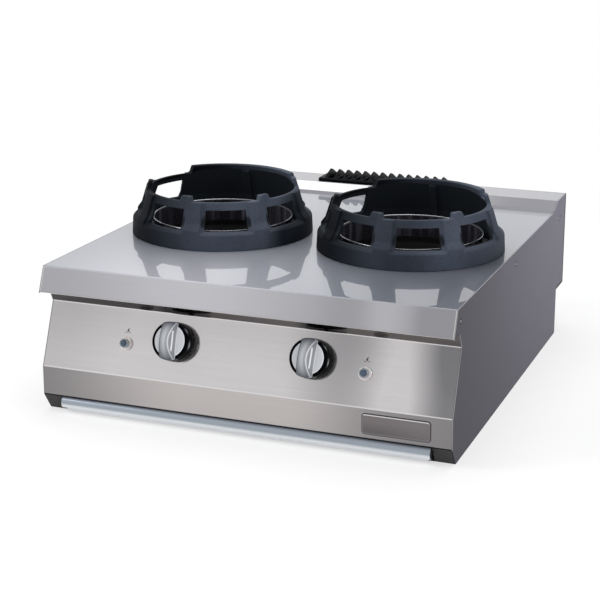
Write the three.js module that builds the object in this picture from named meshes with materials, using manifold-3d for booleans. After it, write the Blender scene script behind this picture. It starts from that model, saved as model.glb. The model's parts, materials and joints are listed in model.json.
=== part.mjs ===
// Bench-top gas wok range with two burners. Millimetres, +Z up, -Y is the front.
// The origin is on the floor under the middle of the casing.
import * as THREE from 'three';
import { mergeVertices } from 'three/addons/utils/BufferGeometryUtils.js';
import Module from 'manifold-3d';

const wasm = await Module();
wasm.setup();

// ---- Driving dimensions ----

// Casing
const casingWidth = 800;
const casingDepth = 900; // fascia lip to the back of the flue housing
const worktopHeight = 282;
const upstandRise = 18; // above the worktop
const sheet = 1.5;
const gap = 0.3; // between pieces that touch

// Fascia, recess, slope and band, from the top down
const fasciaLean = 20; // the lip stands this far ahead of the worktop's front edge
const fasciaHeight = 48.5;
const lipReturn = 36.5;
const recessDepth = 14;
const recessHeight = 27;
const slopeRun = 46;
const bandHeight = 56;
const toeRun = 23.8;
const panelHem = 15;

// Rear upstand and flue housing
const upstandRun = 50;
const upstandTop = 82; // flat top, front to back
const overhang = 68;
const overhangHeight = 100; // underside above the floor
const rearFlange = 20;
const skirtHeight = 34;
const skirtEndInset = 8;

// Burner places and wok rings
const burnerSpacing = 398;
const burnerSetback = 376; // behind the worktop's front edge
const ringRadius = 183;
const ringBandHeight = 38;
const ringBandTaper = 2;
const ringShoulderInset = 11;
const ringShoulderHeight = 50;
const ringRimInset = 25;
const ringRimHeight = 94;
const ringWall = 14; // at the rim
const ringBandWall = 16;
const ringFootWall = 15;
const ringRimChamfer = 1;
const lugHeight = 102;
const backRimHeight = 105;
const windowPitch = 45; // degrees
const windowAngle = 27;
const windowBottom = 36;
const windowTop = 75;
const windowCount = 6;
const recessAngle = 33;
const recessStep = 4;
const recessEdge = 0.6; // degrees, run of a recess's edge
const ringStep = 12; // degrees between plain sections
const lugPitch = 60; // degrees
const lugFirst = -67.5;
const lugCount = 4;
const lugAngle = 9;
const backRimFrom = 128;
const backRimTo = 226;
const stepAngle = 2.5; // run of a lug's or the back rim's sloping end
const ringRibWidth = 15;
const ringRibDepth = 4;
const ringTurnLeft = 4; // degrees, as the loose rings lie
const ringTurnRight = 0;

// Collar, bowl and burner
const collarRadius = 140;
const collarRise = 32; // above the worktop
const collarDrop = 27; // below the worktop
const collarFlange = 11;
const collarLedge = 5;
const bowlRimDrop = 13; // bowl's rim below the worktop
const bowlNeckRadius = 88;
const bowlNeckHeight = 12;
const bowlDepth = 92;
const bowlWall = 1.2;
const burnerHeadRadius = 70;
const burnerFootRadius = 64;
const burnerBodyHeight = 70;
const burnerWaist = 28;
const burnerWaistTop = 35; // above its foot
const burnerShoulder = 52.5;
const railTop = 130;
const railHeight = 20;
const railWidth = 30;
const railSpacing = 90;
const capRadius = 64;
const capHeight = 24;
const capBore = 20;
const capStep = 9;
const tubeAxisHeight = 154;
const tubeBore = 13;
const tubeWall = 4;
const tubeLength = 190;
const bellRadius = 24;
const bellLength = 30;
const burnerNeckLength = 18;
const bracketReach = 17;
const bracketPlate = 2;
const bracketThickness = 2;
const injectorRadius = 8;
const injectorLength = 20;
const nozzleRadius = 4;
const nozzleLength = 8;

// Pilot, thermocouple and spark electrode, on a plate beside the burner head
const pilotReach = 77; // from the burner's axis
const pilotPlate = 2;
const pilotPlateDrop = 14.3; // below the burner head's top
const pilotPlateWidth = 41;
const pilotPlateLap = 6; // beyond the pilot's axis
const pilotSpacing = 15;
const pilotRadius = 4;
const pilotRise = 36; // above the plate
const pilotFoot = 20; // below the plate
const hoodHeight = 8;
const clipFlange = 1; // round the pilot's hood and the clips of its neighbours
const clipHeight = 4;
const probeRadius = 3;
const ceramicRadius = 3.5;
const sparkRadius = 1.2;
const sparkLength = 14;
const leadRadius = 1.5;
const leadSpread = 12; // between neighbouring lines
const leadClearance = 12; // over the burner rails

// Controls, measured down the slope from the panel's top edge
const knobSpacing = 268;
const knobDrop = 51;
const knobRadius = 36.5;
const knobHeight = 27; // black body
const knobStandoff = 3.2;
const knobPush = 2.5;
const knobRim = 4.3;
const knobFootChamfer = 1;
const knobEdge = 1.5;
const faceThickness = 3;
const gripHeight = 12;
const gripLeft = 15.6;
const gripRight = 14;
const facetReach = 0.7; // the facet's ridge from the knob's axis
const spindleRadius = 4;
const spindleClearance = 0.35;
const spindleHole = 2; // round the spindle, in the panel
const spindleInset = 20; // into the knob
const spindleDepth = 30; // behind the panel
const rodRadius = 2;
const rodLength = 20;
const piezoSpacing = 467;
const piezoDrop = 65;
const piezoCollarRadius = 12.5;
const piezoCollarHeight = 4;
const piezoNoseRadius = 8.5;
const piezoNoseHeight = 10;
const piezoBodyRadius = 9;
const piezoBodyLength = 48;
const buttonRadius = 5.5;
const buttonStand = 3.5; // ahead of the nose
const buttonLength = 20;
const buttonPush = 3;
const badgeWidth = 124;
const badgeHeight = 36.5;
const badgeInset = 102; // its middle, from the casing's side
const badgeRadius = 4;

// Gas
const tapWidth = 28;
const tapHeight = 30;
const tapStart = 8; // behind the panel's face
const tapLength = 56;
const tapNeckRadius = 10;
const tapOutletRadius = 6;
const tapOutletLength = 10;
const tapOutletDepth = 45;
const tapStubRadius = 8;
const tapStubLength = 12;
const tapUnionRadius = 5;
const tapUnionLength = 8;
const manifoldRadius = 10.7;
const manifoldDepth = 40; // behind the panel's face
const manifoldOverrun = 46; // past the left tap
const gasRunInset = 70; // from the casing's side
const gasRunHeight = 62;
const supplyRadius = 5;
const knuckleStand = 1.6; // a bend's ball, beyond the pipe
const inletRadius = 10.7;
const inletWall = 3;
const inletClearance = 1; // in the rear panel
const inletReach = 24; // behind the casing
const inletHexRadius = 17;
const inletHexLength = 9;

// Drip tray and runners
const traySideInset = 41.2; // tray's body from the casing's inside
const trayLipOverlap = 5; // lip beyond the body
const trayLipBottom = 9.5;
const trayLipHeight = 23.5;
const trayLipDepth = 13;
const trayLipTuck = 1;
const trayLipDrop = 1; // below the band
const trayLipSide = 1; // from the toe plates
const trayLength = 767;
const trayWallHeight = 27;
const trayWall = 1.2;
const runnerFlange = 56;
const runnerWeb = 23;
const runnerFront = 32; // behind the fascia lip
const runnerLength = 757;
const panRearFlange = 40;
const panSideFlange = 20;

// Flue
const flueWidth = 288;
const flueFloor = 105;
const flueInset = 6; // from the upstand's edges
const flueMouthInset = 6; // from the duct's sides and floor
const flueWindowTop = 205;
const grilleWidth = 300;
const grilleInset = 3; // from the upstand's edges
const grillePlate = 7.7;
const grilleBevel = 3;
const grilleOpeningInset = 7;
const grilleSideInset = 10.5;
const finCount = 14;
const finPitch = 20.4;
const finHeight = 15.5;
const finCurve = 1.6; // 1 is a straight gable, 2 a parabola
const finLength = 62;
const finThickness = 7;
const slotWidth = 10;
const grilleLug = 8;

// Screw holes, and the slots in the rear panel
const screwRadius = 2;
const screwClearance = 0.3;
const sideScrewDrop = 25; // below the worktop
const sideScrewSetbacks = [38, 437, 842]; // behind the fascia lip
const toolHoleSetback = 60;
const toolHoleRadius = 2.5;
const topScrewInset = 15;
const rearScrewDrop = 10;
const rearScrewSpacing = 165;
const ventRows = 4; // on each side of the flue
const ventPitch = 26;
const ventHeight = 6;
const ventLength = 90;
const ventMiddle = 200; // height of the rows' middle
const ventGap = 45; // from the flue

// ---- Values worked out from them ----

const lipY = -casingDepth / 2;
const backY = casingDepth / 2;
const frontEdgeY = lipY + fasciaLean;
const upstandHeight = worktopHeight + upstandRise;
const lipZ = worktopHeight - fasciaHeight;
const recessY = lipY + lipReturn;
const slopeTopY = recessY + recessDepth;
const slopeTopZ = lipZ - recessHeight;
const panelTuck = fasciaHeight - skirtHeight - gap; // flange behind the lip return
const bandY = slopeTopY - slopeRun;
const bandBottomZ = trayLipBottom + trayLipHeight + trayLipDrop;
const bandTopZ = bandBottomZ + bandHeight;
const slopeHeight = slopeTopZ - bandTopZ;
const toeY = bandY + toeRun;
const upstandY = backY - upstandTop;
const upstandFootY = upstandY - upstandRun;
const bodyBackY = backY - overhang;
const panelEndY = backY - sheet - gap; // side panels stop at the rear panel
const halfWidth = casingWidth / 2;
const innerHalf = halfWidth - sheet - gap;
const gasRunX = halfWidth - gasRunInset;
const trayHalf = innerHalf - traySideInset;
const trayLipHalf = trayHalf + trayLipOverlap;
const burnerY = frontEdgeY + burnerSetback;
const slopeAngle = Math.atan2(slopeRun, slopeHeight); // from the vertical
const degree = Math.PI / 180;
const largeFacets = 32; // round pieces over 200 mm across
const middleFacets = 24;
const smallFacets = 12;
const leadFacets = 5;
const holeFacets = 8;
const sides = [
  { name: 'left', hand: -1 },
  { name: 'right', hand: 1 },
];

// ---- Solids: closed meshes, joined and cut ----

function solidOf(geometry) {
  const bare = geometry.index ? geometry.toNonIndexed() : geometry.clone();
  bare.deleteAttribute('normal');
  bare.deleteAttribute('uv');
  const merged = mergeVertices(bare, 1e-5);
  return new wasm.Manifold(new wasm.Mesh({
    numProp: 3,
    vertProperties: new Float32Array(merged.attributes.position.array),
    triVerts: new Uint32Array(merged.index.array),
  }));
}

function geometryOf(solid) {
  const mesh = solid.getMesh();
  const geometry = new THREE.BufferGeometry();
  geometry.setAttribute('position', new THREE.BufferAttribute(mesh.vertProperties, 3));
  geometry.setIndex(new THREE.BufferAttribute(mesh.triVerts, 1));
  geometry.computeVertexNormals();
  return geometry;
}

function join(...geometries) {
  return geometryOf(geometries.map(solidOf).reduce((whole, piece) => whole.add(piece)));
}

function cut(geometry, ...cutters) {
  const start = solidOf(geometry);
  return geometryOf(cutters.map(solidOf).reduce((whole, piece) => whole.subtract(piece), start));
}

function common(first, second) {
  return geometryOf(solidOf(first).intersect(solidOf(second)));
}

function box([x0, x1], [y0, y1], [z0, z1]) {
  const geometry = new THREE.BoxGeometry(Math.abs(x1 - x0), Math.abs(y1 - y0), Math.abs(z1 - z0));
  return geometry.translate((x0 + x1) / 2, (y0 + y1) / 2, (z0 + z1) / 2);
}

function shapeOf(points) {
  return new THREE.Shape(points.map(([a, b]) => new THREE.Vector2(a, b)));
}

// An outline of [x, y] points, from height z0 to z1.
function standing(points, z0, z1) {
  const geometry = new THREE.ExtrudeGeometry(shapeOf(points), { depth: z1 - z0, bevelEnabled: false });
  return geometry.translate(0, 0, z0);
}

// An outline of [y, z] points, from x0 to x1.
function across(points, x0, x1) {
  const start = Math.min(x0, x1);
  const geometry = new THREE.ExtrudeGeometry(shapeOf(points), {
    depth: Math.abs(x1 - x0),
    bevelEnabled: false,
  });
  const turn = new THREE.Matrix4().makeBasis(
    new THREE.Vector3(0, 1, 0),
    new THREE.Vector3(0, 0, 1),
    new THREE.Vector3(1, 0, 0),
  );
  return geometry.applyMatrix4(turn).translate(start, 0, 0);
}

// A sheet folded along a line of [y, z] points, its thickness to the right of the line's direction.
function folded(line, thickness) {
  const inner = line.map((point, i) => {
    const before = i > 0 ? direction(line[i - 1], point) : direction(point, line[i + 1]);
    const after = i < line.length - 1 ? direction(point, line[i + 1]) : before;
    const bisector = [before[1] + after[1], -before[0] - after[0]];
    const reach = (2 * thickness) / (bisector[0] ** 2 + bisector[1] ** 2);
    return [point[0] + bisector[0] * reach, point[1] + bisector[1] * reach];
  });
  return [...line, ...inner.reverse()];
}

function direction(from, to) {
  const length = Math.hypot(to[0] - from[0], to[1] - from[1]);
  return [(to[0] - from[0]) / length, (to[1] - from[1]) / length];
}

// A round bar between two points; its facets can be counted down to a hexagon.
function bar(from, to, radius, facets = 16) {
  const start = new THREE.Vector3(...from);
  const end = new THREE.Vector3(...to);
  const along = end.clone().sub(start);
  const geometry = new THREE.CylinderGeometry(radius, radius, along.length(), facets);
  const turn = new THREE.Quaternion().setFromUnitVectors(
    new THREE.Vector3(0, 1, 0),
    along.clone().normalize(),
  );
  const middle = start.add(end).multiplyScalar(0.5);
  return geometry.applyQuaternion(turn).translate(middle.x, middle.y, middle.z);
}

// A profile of [radius, height] points turned about the Z axis.
function turned(profile, segments) {
  const points = profile.map(([r, z]) => new THREE.Vector2(r, z));
  return new THREE.LatheGeometry(points, segments).rotateX(Math.PI / 2);
}

// A round tube or lead along a smooth curve through points.
function bent(points, radius, facets, steps) {
  const path = new THREE.CatmullRomCurve3(points.map((point) => new THREE.Vector3(...point)));
  const ring = Array.from({ length: facets }, (_, i) => {
    const angle = (i / facets) * 2 * Math.PI;
    return [radius * Math.cos(angle), radius * Math.sin(angle)];
  });
  return new THREE.ExtrudeGeometry(shapeOf(ring), { steps, extrudePath: path, bevelEnabled: false });
}

// ---- The assembly ----

const group = new THREE.Group();

const finishes = {
  brushedSteel: { color: 0xb8b6b4, roughness: 0.38, metalness: 0.9 },
  sideSteel: { color: 0x8b8a92, roughness: 0.45, metalness: 0.85 },
  polishedSteel: { color: 0xd8dde4, roughness: 0.12, metalness: 1 },
  galvanised: { color: 0x4c4a48, roughness: 0.6, metalness: 0.6 },
  castIron: { color: 0x2c333d, roughness: 0.6, metalness: 0.3 },
  blackEnamel: { color: 0x101216, roughness: 0.25, metalness: 0.1 },
  blackPlastic: { color: 0x0d0e10, roughness: 0.2, metalness: 0 },
  silverFace: { color: 0xc4c9d0, roughness: 0.25, metalness: 0.9 },
  brass: { color: 0xb08d45, roughness: 0.35, metalness: 0.9 },
  copper: { color: 0xb0714a, roughness: 0.4, metalness: 0.9 },
  clearPlastic: { color: 0xdcd6c6, roughness: 0.2, metalness: 0 },
  bluePlastic: { color: 0x6f87a3, roughness: 0.3, metalness: 0 },
  ceramic: { color: 0xe6e2d8, roughness: 0.5, metalness: 0 },
  leadJacket: { color: 0x2a2a2a, roughness: 0.7, metalness: 0 },
};

function place(name, geometry, finish, parent = group) {
  const mesh = new THREE.Mesh(geometry, new THREE.MeshStandardMaterial(finishes[finish]));
  mesh.name = name;
  parent.add(mesh);
  return mesh;
}

// The panel's own frame: +Y up the slope, +Z out of the panel, origin on its top edge.
const panel = new THREE.Group();
panel.position.set(0, slopeTopY, slopeTopZ);
panel.rotation.x = Math.PI / 2 - slopeAngle;
panel.updateMatrixWorld();
group.add(panel);

function fromPanel(x, drop, out) {
  return new THREE.Vector3(x, -drop, out).applyMatrix4(panel.matrixWorld).toArray();
}

function onPanel(geometry) {
  return geometry.clone().applyMatrix4(panel.matrixWorld);
}

// ---- Casing ----

const sideScrewYs = sideScrewSetbacks.map((setback) => lipY + setback);
const sideScrewZ = worktopHeight - sideScrewDrop;
const holeRadius = screwRadius + screwClearance;

function makeSidePanel({ name, hand }) {
  const outline = [
    [toeY, 0],
    [bodyBackY, 0],
    [bodyBackY, overhangHeight + gap],
    [panelEndY, overhangHeight + gap],
    [panelEndY, upstandHeight],
    [upstandY, upstandHeight],
    [upstandFootY, worktopHeight],
    [frontEdgeY, worktopHeight],
    [lipY, lipZ],
    [recessY, lipZ],
    [slopeTopY, slopeTopZ],
    [bandY, bandTopZ],
    [bandY, bandBottomZ],
  ];
  const plate = across(outline, hand * (halfWidth - sheet), hand * halfWidth);
  const through = [hand * (halfWidth - 2 * sheet), hand * (halfWidth + sheet)];
  const holes = sideScrewYs.map((y) => bar(
    [through[0], y, sideScrewZ],
    [through[1], y, sideScrewZ],
    holeRadius,
    holeFacets,
  ));
  const toolHoleY = lipY + toolHoleSetback;
  const toolHole = bar(
    [through[0], toolHoleY, sideScrewZ],
    [through[1], toolHoleY, sideScrewZ],
    toolHoleRadius,
    holeFacets,
  );
  place(`side_panel_${name}`, cut(plate, ...holes, toolHole), 'sideSteel');
}

const rearScrewZ = upstandHeight - rearScrewDrop;
const rearScrewXs = [-2, -1, 1, 2].map((step) => step * rearScrewSpacing);
const topScrewX = innerHalf - topScrewInset;
const topScrewY = panelEndY - topScrewInset;
const grilleY = [upstandY + grilleInset, panelEndY - grilleInset];
const openingY = [grilleY[0] + grilleOpeningInset, grilleY[1] - grilleOpeningInset];
const openingHalf = grilleWidth / 2 - grilleSideInset;

function makeWorktop() {
  const flangeY = panelEndY;
  const line = [
    [recessY - gap, lipZ],
    [lipY, lipZ],
    [frontEdgeY, worktopHeight],
    [upstandFootY, worktopHeight],
    [upstandY, upstandHeight],
    [flangeY, upstandHeight],
    [flangeY, upstandHeight - rearFlange],
  ];
  const top = across(folded(line, sheet), -innerHalf, innerHalf);
  const topSkin = [upstandHeight - sheet, upstandHeight];
  const rimStrip = box([-innerHalf, innerHalf], [flangeY - sheet, backY], topSkin);
  const skirtY = [frontEdgeY + skirtEndInset, flangeY - skirtEndInset];
  const skirts = sides.map(({ hand }) => box(
    [hand * (innerHalf - sheet), hand * innerHalf],
    skirtY,
    [worktopHeight - skirtHeight, worktopHeight - sheet / 2],
  ));
  const burnerHoles = sides.map(({ hand }) => {
    const x = (hand * burnerSpacing) / 2;
    return bar(
      [x, burnerY, worktopHeight - skirtHeight],
      [x, burnerY, upstandHeight],
      collarRadius + gap,
      largeFacets,
    );
  });
  const flueHole = box([-openingHalf, openingHalf], openingY, [
    upstandHeight - rearFlange,
    upstandHeight + sheet,
  ]);
  const sideHoles = sideScrewYs.map((y) => bar(
    [-innerHalf - sheet, y, sideScrewZ],
    [innerHalf + sheet, y, sideScrewZ],
    holeRadius,
    holeFacets,
  ));
  const rearHoles = rearScrewXs.map((x) => bar(
    [x, flangeY - 3 * sheet, rearScrewZ],
    [x, flangeY + sheet, rearScrewZ],
    holeRadius,
    holeFacets,
  ));
  const topHoles = sides.map(({ hand }) => bar(
    [hand * topScrewX, topScrewY, upstandHeight - 2 * sheet],
    [hand * topScrewX, topScrewY, upstandHeight + sheet],
    holeRadius,
    holeFacets,
  ));
  const whole = join(top, rimStrip, ...skirts);
  const screwHoles = [...sideHoles, ...rearHoles, ...topHoles];
  place('worktop', cut(whole, ...burnerHoles, flueHole, ...screwHoles), 'polishedSteel');
}

function makeControlPanel() {
  const line = [
    [bandY + panelHem, bandBottomZ],
    [bandY, bandBottomZ],
    [bandY, bandTopZ],
    [slopeTopY, slopeTopZ],
    [recessY, lipZ],
    [recessY, lipZ + panelTuck],
  ];
  const folds = across(folded(line, sheet), -innerHalf, innerHalf);
  const holes = sides.flatMap(({ hand }) => {
    const knobX = (hand * knobSpacing) / 2;
    const piezoX = (hand * piezoSpacing) / 2;
    return [
      bar([knobX, -knobDrop, -3 * sheet], [knobX, -knobDrop, sheet], spindleRadius + spindleHole, 20),
      bar([piezoX, -piezoDrop, -3 * sheet], [piezoX, -piezoDrop, sheet], piezoBodyRadius + gap, 20),
    ].map(onPanel);
  });
  place('control_panel', cut(folds, ...holes), 'brushedSteel');
}

function makeBadge() {
  const half = badgeWidth / 2 - badgeRadius;
  const middleZ = (bandTopZ + bandBottomZ) / 2;
  const halfHeight = badgeHeight / 2 - badgeRadius;
  const shape = new THREE.Shape();
  const corners = [[1, 1, 0], [-1, 1, 90], [-1, -1, 180], [1, -1, 270]];
  corners.forEach(([a, b, angle]) => {
    shape.absarc(a * half, b * halfHeight, badgeRadius, angle * degree, (angle + 90) * degree, false);
  });
  const plate = new THREE.ExtrudeGeometry(shape, { depth: sheet, bevelEnabled: false, curveSegments: 4 });
  plate.rotateX(Math.PI / 2).translate(halfWidth - badgeInset, bandY - gap, middleZ);
  place('badge_plate', plate, 'brushedSteel');
}

function makeRearPanel() {
  const line = [
    [bodyBackY, 0],
    [bodyBackY, overhangHeight - sheet],
    [backY, overhangHeight - sheet],
    [backY, upstandHeight - sheet - gap],
  ];
  const sheetLine = [...line].reverse();
  const plate = across(folded(sheetLine, sheet), -halfWidth, halfWidth);
  const corners = sides.map(({ hand }) => box(
    [hand * innerHalf, hand * (halfWidth + sheet)],
    [bodyBackY - 3 * sheet, bodyBackY + gap],
    [-sheet, overhangHeight + gap],
  ));
  const inletHole = bar(
    [gasRunX, bodyBackY - 3 * sheet, gasRunHeight],
    [gasRunX, bodyBackY + sheet, gasRunHeight],
    inletRadius + inletClearance,
    20,
  );
  const through = [backY - 3 * sheet, backY + sheet];
  const screwHoles = rearScrewXs.map((x) => bar(
    [x, through[0], rearScrewZ],
    [x, through[1], rearScrewZ],
    holeRadius,
    holeFacets,
  ));
  const vents = sides.flatMap(({ hand }) => Array.from({ length: ventRows }, (_, i) => {
    const z = ventMiddle + (i - (ventRows - 1) / 2) * ventPitch;
    const x = hand * (flueWidth / 2 + ventGap + ventLength / 2);
    return box([x - ventLength / 2, x + ventLength / 2], through, [z - ventHeight / 2, z + ventHeight / 2]);
  }));
  place('rear_panel', cut(plate, ...corners, inletHole, ...screwHoles, ...vents), 'galvanised');
}

function makeBasePan() {
  const floor = box([-innerHalf, innerHalf], [toeY, bodyBackY - sheet - gap], [0, sheet]);
  const rear = box(
    [-innerHalf, innerHalf],
    [bodyBackY - 2 * sheet - gap, bodyBackY - sheet - gap],
    [0, panRearFlange],
  );
  const wings = sides.map(({ hand }) => box(
    [hand * (innerHalf - sheet), hand * innerHalf],
    [toeY + sheet, bodyBackY - sheet - gap],
    [0, panSideFlange],
  ));
  const lean = toeRun / bandBottomZ;
  const toeTop = bandBottomZ - 2 * gap;
  const toe = [
    [toeY, 0],
    [toeY + 2 * sheet, 0],
    [toeY + 2 * sheet - toeTop * lean, toeTop],
    [toeY - toeTop * lean, toeTop],
  ];
  const toes = sides.map(({ hand }) => across(
    toe,
    hand * (trayLipHalf + trayLipSide),
    hand * innerHalf,
  ));
  place('base_pan', join(floor, rear, ...wings, ...toes), 'galvanised');
}

function makeBurnerRails() {
  [['front', -1], ['rear', 1]].forEach(([name, hand]) => {
    const y = burnerY + (hand * railSpacing) / 2;
    const line = [
      [y - railWidth / 2, railTop - railHeight],
      [y - railWidth / 2, railTop],
      [y + railWidth / 2, railTop],
      [y + railWidth / 2, railTop - railHeight],
    ];
    place(`burner_rail_${name}`, across(folded(line, sheet), -innerHalf, innerHalf), 'galvanised');
  });
}

// ---- Wok rings ----

const ringBandBore = ringRadius - ringBandTaper - ringBandWall;

// Height of the ring's rim at an angle: the plain rim, the lugs and the raised back.
function rimHeight(angle) {
  const ramp = (from, to, height) => {
    const inside = Math.min(angle - from, to - angle);
    return ringRimHeight + (height - ringRimHeight) * Math.min(Math.max(inside / stepAngle, 0), 1);
  };
  const lugs = Array.from({ length: lugCount }, (_, i) => {
    const middle = lugFirst + i * lugPitch;
    const half = lugAngle / 2 + stepAngle;
    return ramp(middle - half, middle + half, lugHeight);
  });
  const ends = [backRimFrom, backRimTo, backRimHeight];
  const back = [0, 360].map((turn) => ramp(ends[0] - turn, ends[1] - turn, ends[2]));
  return Math.max(...lugs, ...back);
}

const windowMiddles = Array.from(
  { length: windowCount },
  (_, i) => (i - (windowCount - 1) / 2) * windowPitch,
);

// Angles at which the ring's section is drawn: even steps and each step in its form.
function ringAngles() {
  const angles = new Set([
    backRimFrom,
    backRimFrom + stepAngle,
    backRimTo - 360,
    backRimTo - 360 - stepAngle,
  ]);
  for (let angle = -180; angle < 180; angle += ringStep) angles.add(angle);
  windowMiddles.forEach((middle) => [-1, 1].forEach((side) => {
    angles.add(middle + (side * recessAngle) / 2);
    angles.add(middle + side * (recessAngle / 2 + recessEdge));
  }));
  for (let i = 0; i < lugCount; i += 1) {
    const middle = lugFirst + i * lugPitch;
    [-1, 1].forEach((side) => {
      angles.add(middle + (side * lugAngle) / 2);
      angles.add(middle + side * (lugAngle / 2 + stepAngle));
    });
  }
  return [...angles].sort((a, b) => a - b);
}

function ringSection(angle) {
  const half = recessAngle / 2 + 1e-6;
  const step = windowMiddles.some((middle) => Math.abs(angle - middle) <= half) ? recessStep : 0;
  const top = rimHeight(angle);
  const shoulder = ringRadius - ringShoulderInset;
  const cone = (ringRimInset - ringShoulderInset) / (ringRimHeight - ringShoulderHeight);
  const rim = shoulder - (top - ringShoulderHeight) * cone;
  return [
    [ringRadius, 0],
    [ringRadius - ringBandTaper, ringBandHeight - step],
    [shoulder - step, ringShoulderHeight - step],
    [rim - step + ringRimChamfer, top - ringRimChamfer],
    [rim - step - ringRimChamfer, top],
    [rim - ringWall, top],
    [ringBandBore, ringBandHeight],
    [ringRadius - ringFootWall, 0],
  ];
}

function ringShell() {
  const angles = ringAngles();
  const sections = angles.map(ringSection);
  const count = sections[0].length;
  const positions = sections.flatMap((section, i) => section.flatMap(([r, h]) => {
    const angle = angles[i] * degree;
    return [r * Math.sin(angle), -r * Math.cos(angle), h];
  }));
  const index = [];
  angles.forEach((_, i) => {
    const next = (i + 1) % angles.length;
    for (let k = 0; k < count; k += 1) {
      const up = (k + 1) % count;
      const [a, b, c, d] = [i * count + k, next * count + k, next * count + up, i * count + up];
      index.push(a, b, c, a, c, d);
    }
  });
  const geometry = new THREE.BufferGeometry();
  geometry.setAttribute('position', new THREE.BufferAttribute(new Float32Array(positions), 3));
  geometry.setIndex(index);
  return geometry;
}

function makeWokRing({ name, hand }) {
  const inner = ringRadius - 3 * ringWall;
  const outer = ringRadius + ringWall;
  const windows = windowMiddles.map((middle) => {
    const spread = Math.tan((windowAngle / 2) * degree);
    const wedge = [
      [-inner * spread, -inner],
      [-outer * spread, -outer],
      [outer * spread, -outer],
      [inner * spread, -inner],
    ];
    return standing(wedge, windowBottom, windowTop).rotateZ(middle * degree);
  });
  const ribTop = ringRadius - ringRimInset - ringWall;
  const ribLine = [
    [ringBandBore + ringRibDepth, ringBandHeight],
    [ribTop + ringRibDepth, ringRimHeight],
    [ribTop - ringRibDepth / 2, ringRimHeight],
    [ringBandBore - ringRibDepth, ringBandHeight],
  ];
  const rib = across(ribLine, -ringRibWidth / 2, ringRibWidth / 2);
  const ring = cut(join(ringShell(), rib), ...windows);
  const mesh = place(`wok_ring_${name}`, ring, 'castIron');
  mesh.rotation.z = (hand < 0 ? ringTurnLeft : ringTurnRight) * degree;
  mesh.position.set((hand * burnerSpacing) / 2, burnerY, worktopHeight + gap);
}

// ---- Burners ----

const capSeat = railTop + gap + burnerBodyHeight + gap;
const pilotPlateZ = capSeat - gap - pilotPlateDrop;
const pilotTop = pilotPlateZ + pilotRise;

function makeBurner({ name, hand }) {
  const burner = new THREE.Group();
  burner.position.set((hand * burnerSpacing) / 2, burnerY, 0);
  group.add(burner);

  const collarTop = worktopHeight + collarRise;
  const collarFoot = worktopHeight - collarDrop;
  place(`burner_collar_${name}`, turned([
    [collarRadius, collarFoot],
    [collarRadius, worktopHeight + gap],
    [collarRadius + collarFlange, worktopHeight + gap],
    [collarRadius + collarFlange, worktopHeight + gap + sheet],
    [collarRadius, worktopHeight + gap + sheet],
    [collarRadius, collarTop],
    [collarRadius - sheet, collarTop],
    [collarRadius - sheet, collarFoot + sheet],
    [collarRadius - sheet - collarLedge, collarFoot + sheet],
    [collarRadius - sheet - collarLedge, collarFoot],
    [collarRadius, collarFoot],
  ], largeFacets), 'polishedSteel', burner);

  const rimOuter = collarRadius - sheet - gap;
  const rimSeat = collarFoot + sheet + gap;
  const coneOuter = rimOuter - collarLedge - gap;
  const bowlFoot = worktopHeight - bowlDepth;
  place(`burner_bowl_${name}`, turned([
    [rimOuter, rimSeat],
    [rimOuter, worktopHeight - bowlRimDrop],
    [rimOuter - bowlWall, worktopHeight - bowlRimDrop],
    [rimOuter - bowlWall, rimSeat + bowlWall],
    [coneOuter - bowlWall, rimSeat + bowlWall],
    [bowlNeckRadius, bowlFoot],
    [bowlNeckRadius, bowlFoot - bowlNeckHeight],
    [bowlNeckRadius + bowlWall, bowlFoot - bowlNeckHeight],
    [bowlNeckRadius + bowlWall, bowlFoot],
    [coneOuter, collarFoot],
    [coneOuter, rimSeat],
    [rimOuter, rimSeat],
  ], largeFacets), 'blackEnamel', burner);

  const foot = railTop + gap;
  const top = foot + burnerBodyHeight;
  const head = turned([
    [0, foot],
    [burnerFootRadius, foot],
    [burnerFootRadius, foot + 2 * sheet],
    [burnerWaist, foot + 3 * sheet],
    [burnerWaist, foot + burnerWaistTop],
    [burnerHeadRadius, foot + burnerShoulder],
    [burnerHeadRadius, top],
    [0, top],
  ], middleFacets);
  const neckEnd = -burnerWaist - burnerNeckLength;
  const neck = bar([0, 0, tubeAxisHeight], [0, neckEnd, tubeAxisHeight], tubeBore + tubeWall, 16);
  place(`burner_body_${name}`, join(head, neck), 'castIron', burner);

  place(`burner_cap_${name}`, turned([
    [capBore, capSeat],
    [capRadius, capSeat],
    [capRadius, capSeat + capStep],
    [capRadius - capStep, capSeat + capHeight],
    [capBore + capStep, capSeat + capHeight],
    [capBore, capSeat + capHeight - capStep],
    [capBore, capSeat],
  ], middleFacets), 'brass', burner);

  const inlet = makeMixingTube(name, burner, neckEnd - gap);
  return { inlet, ...makePilot(name, -hand, burner) };
}

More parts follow.
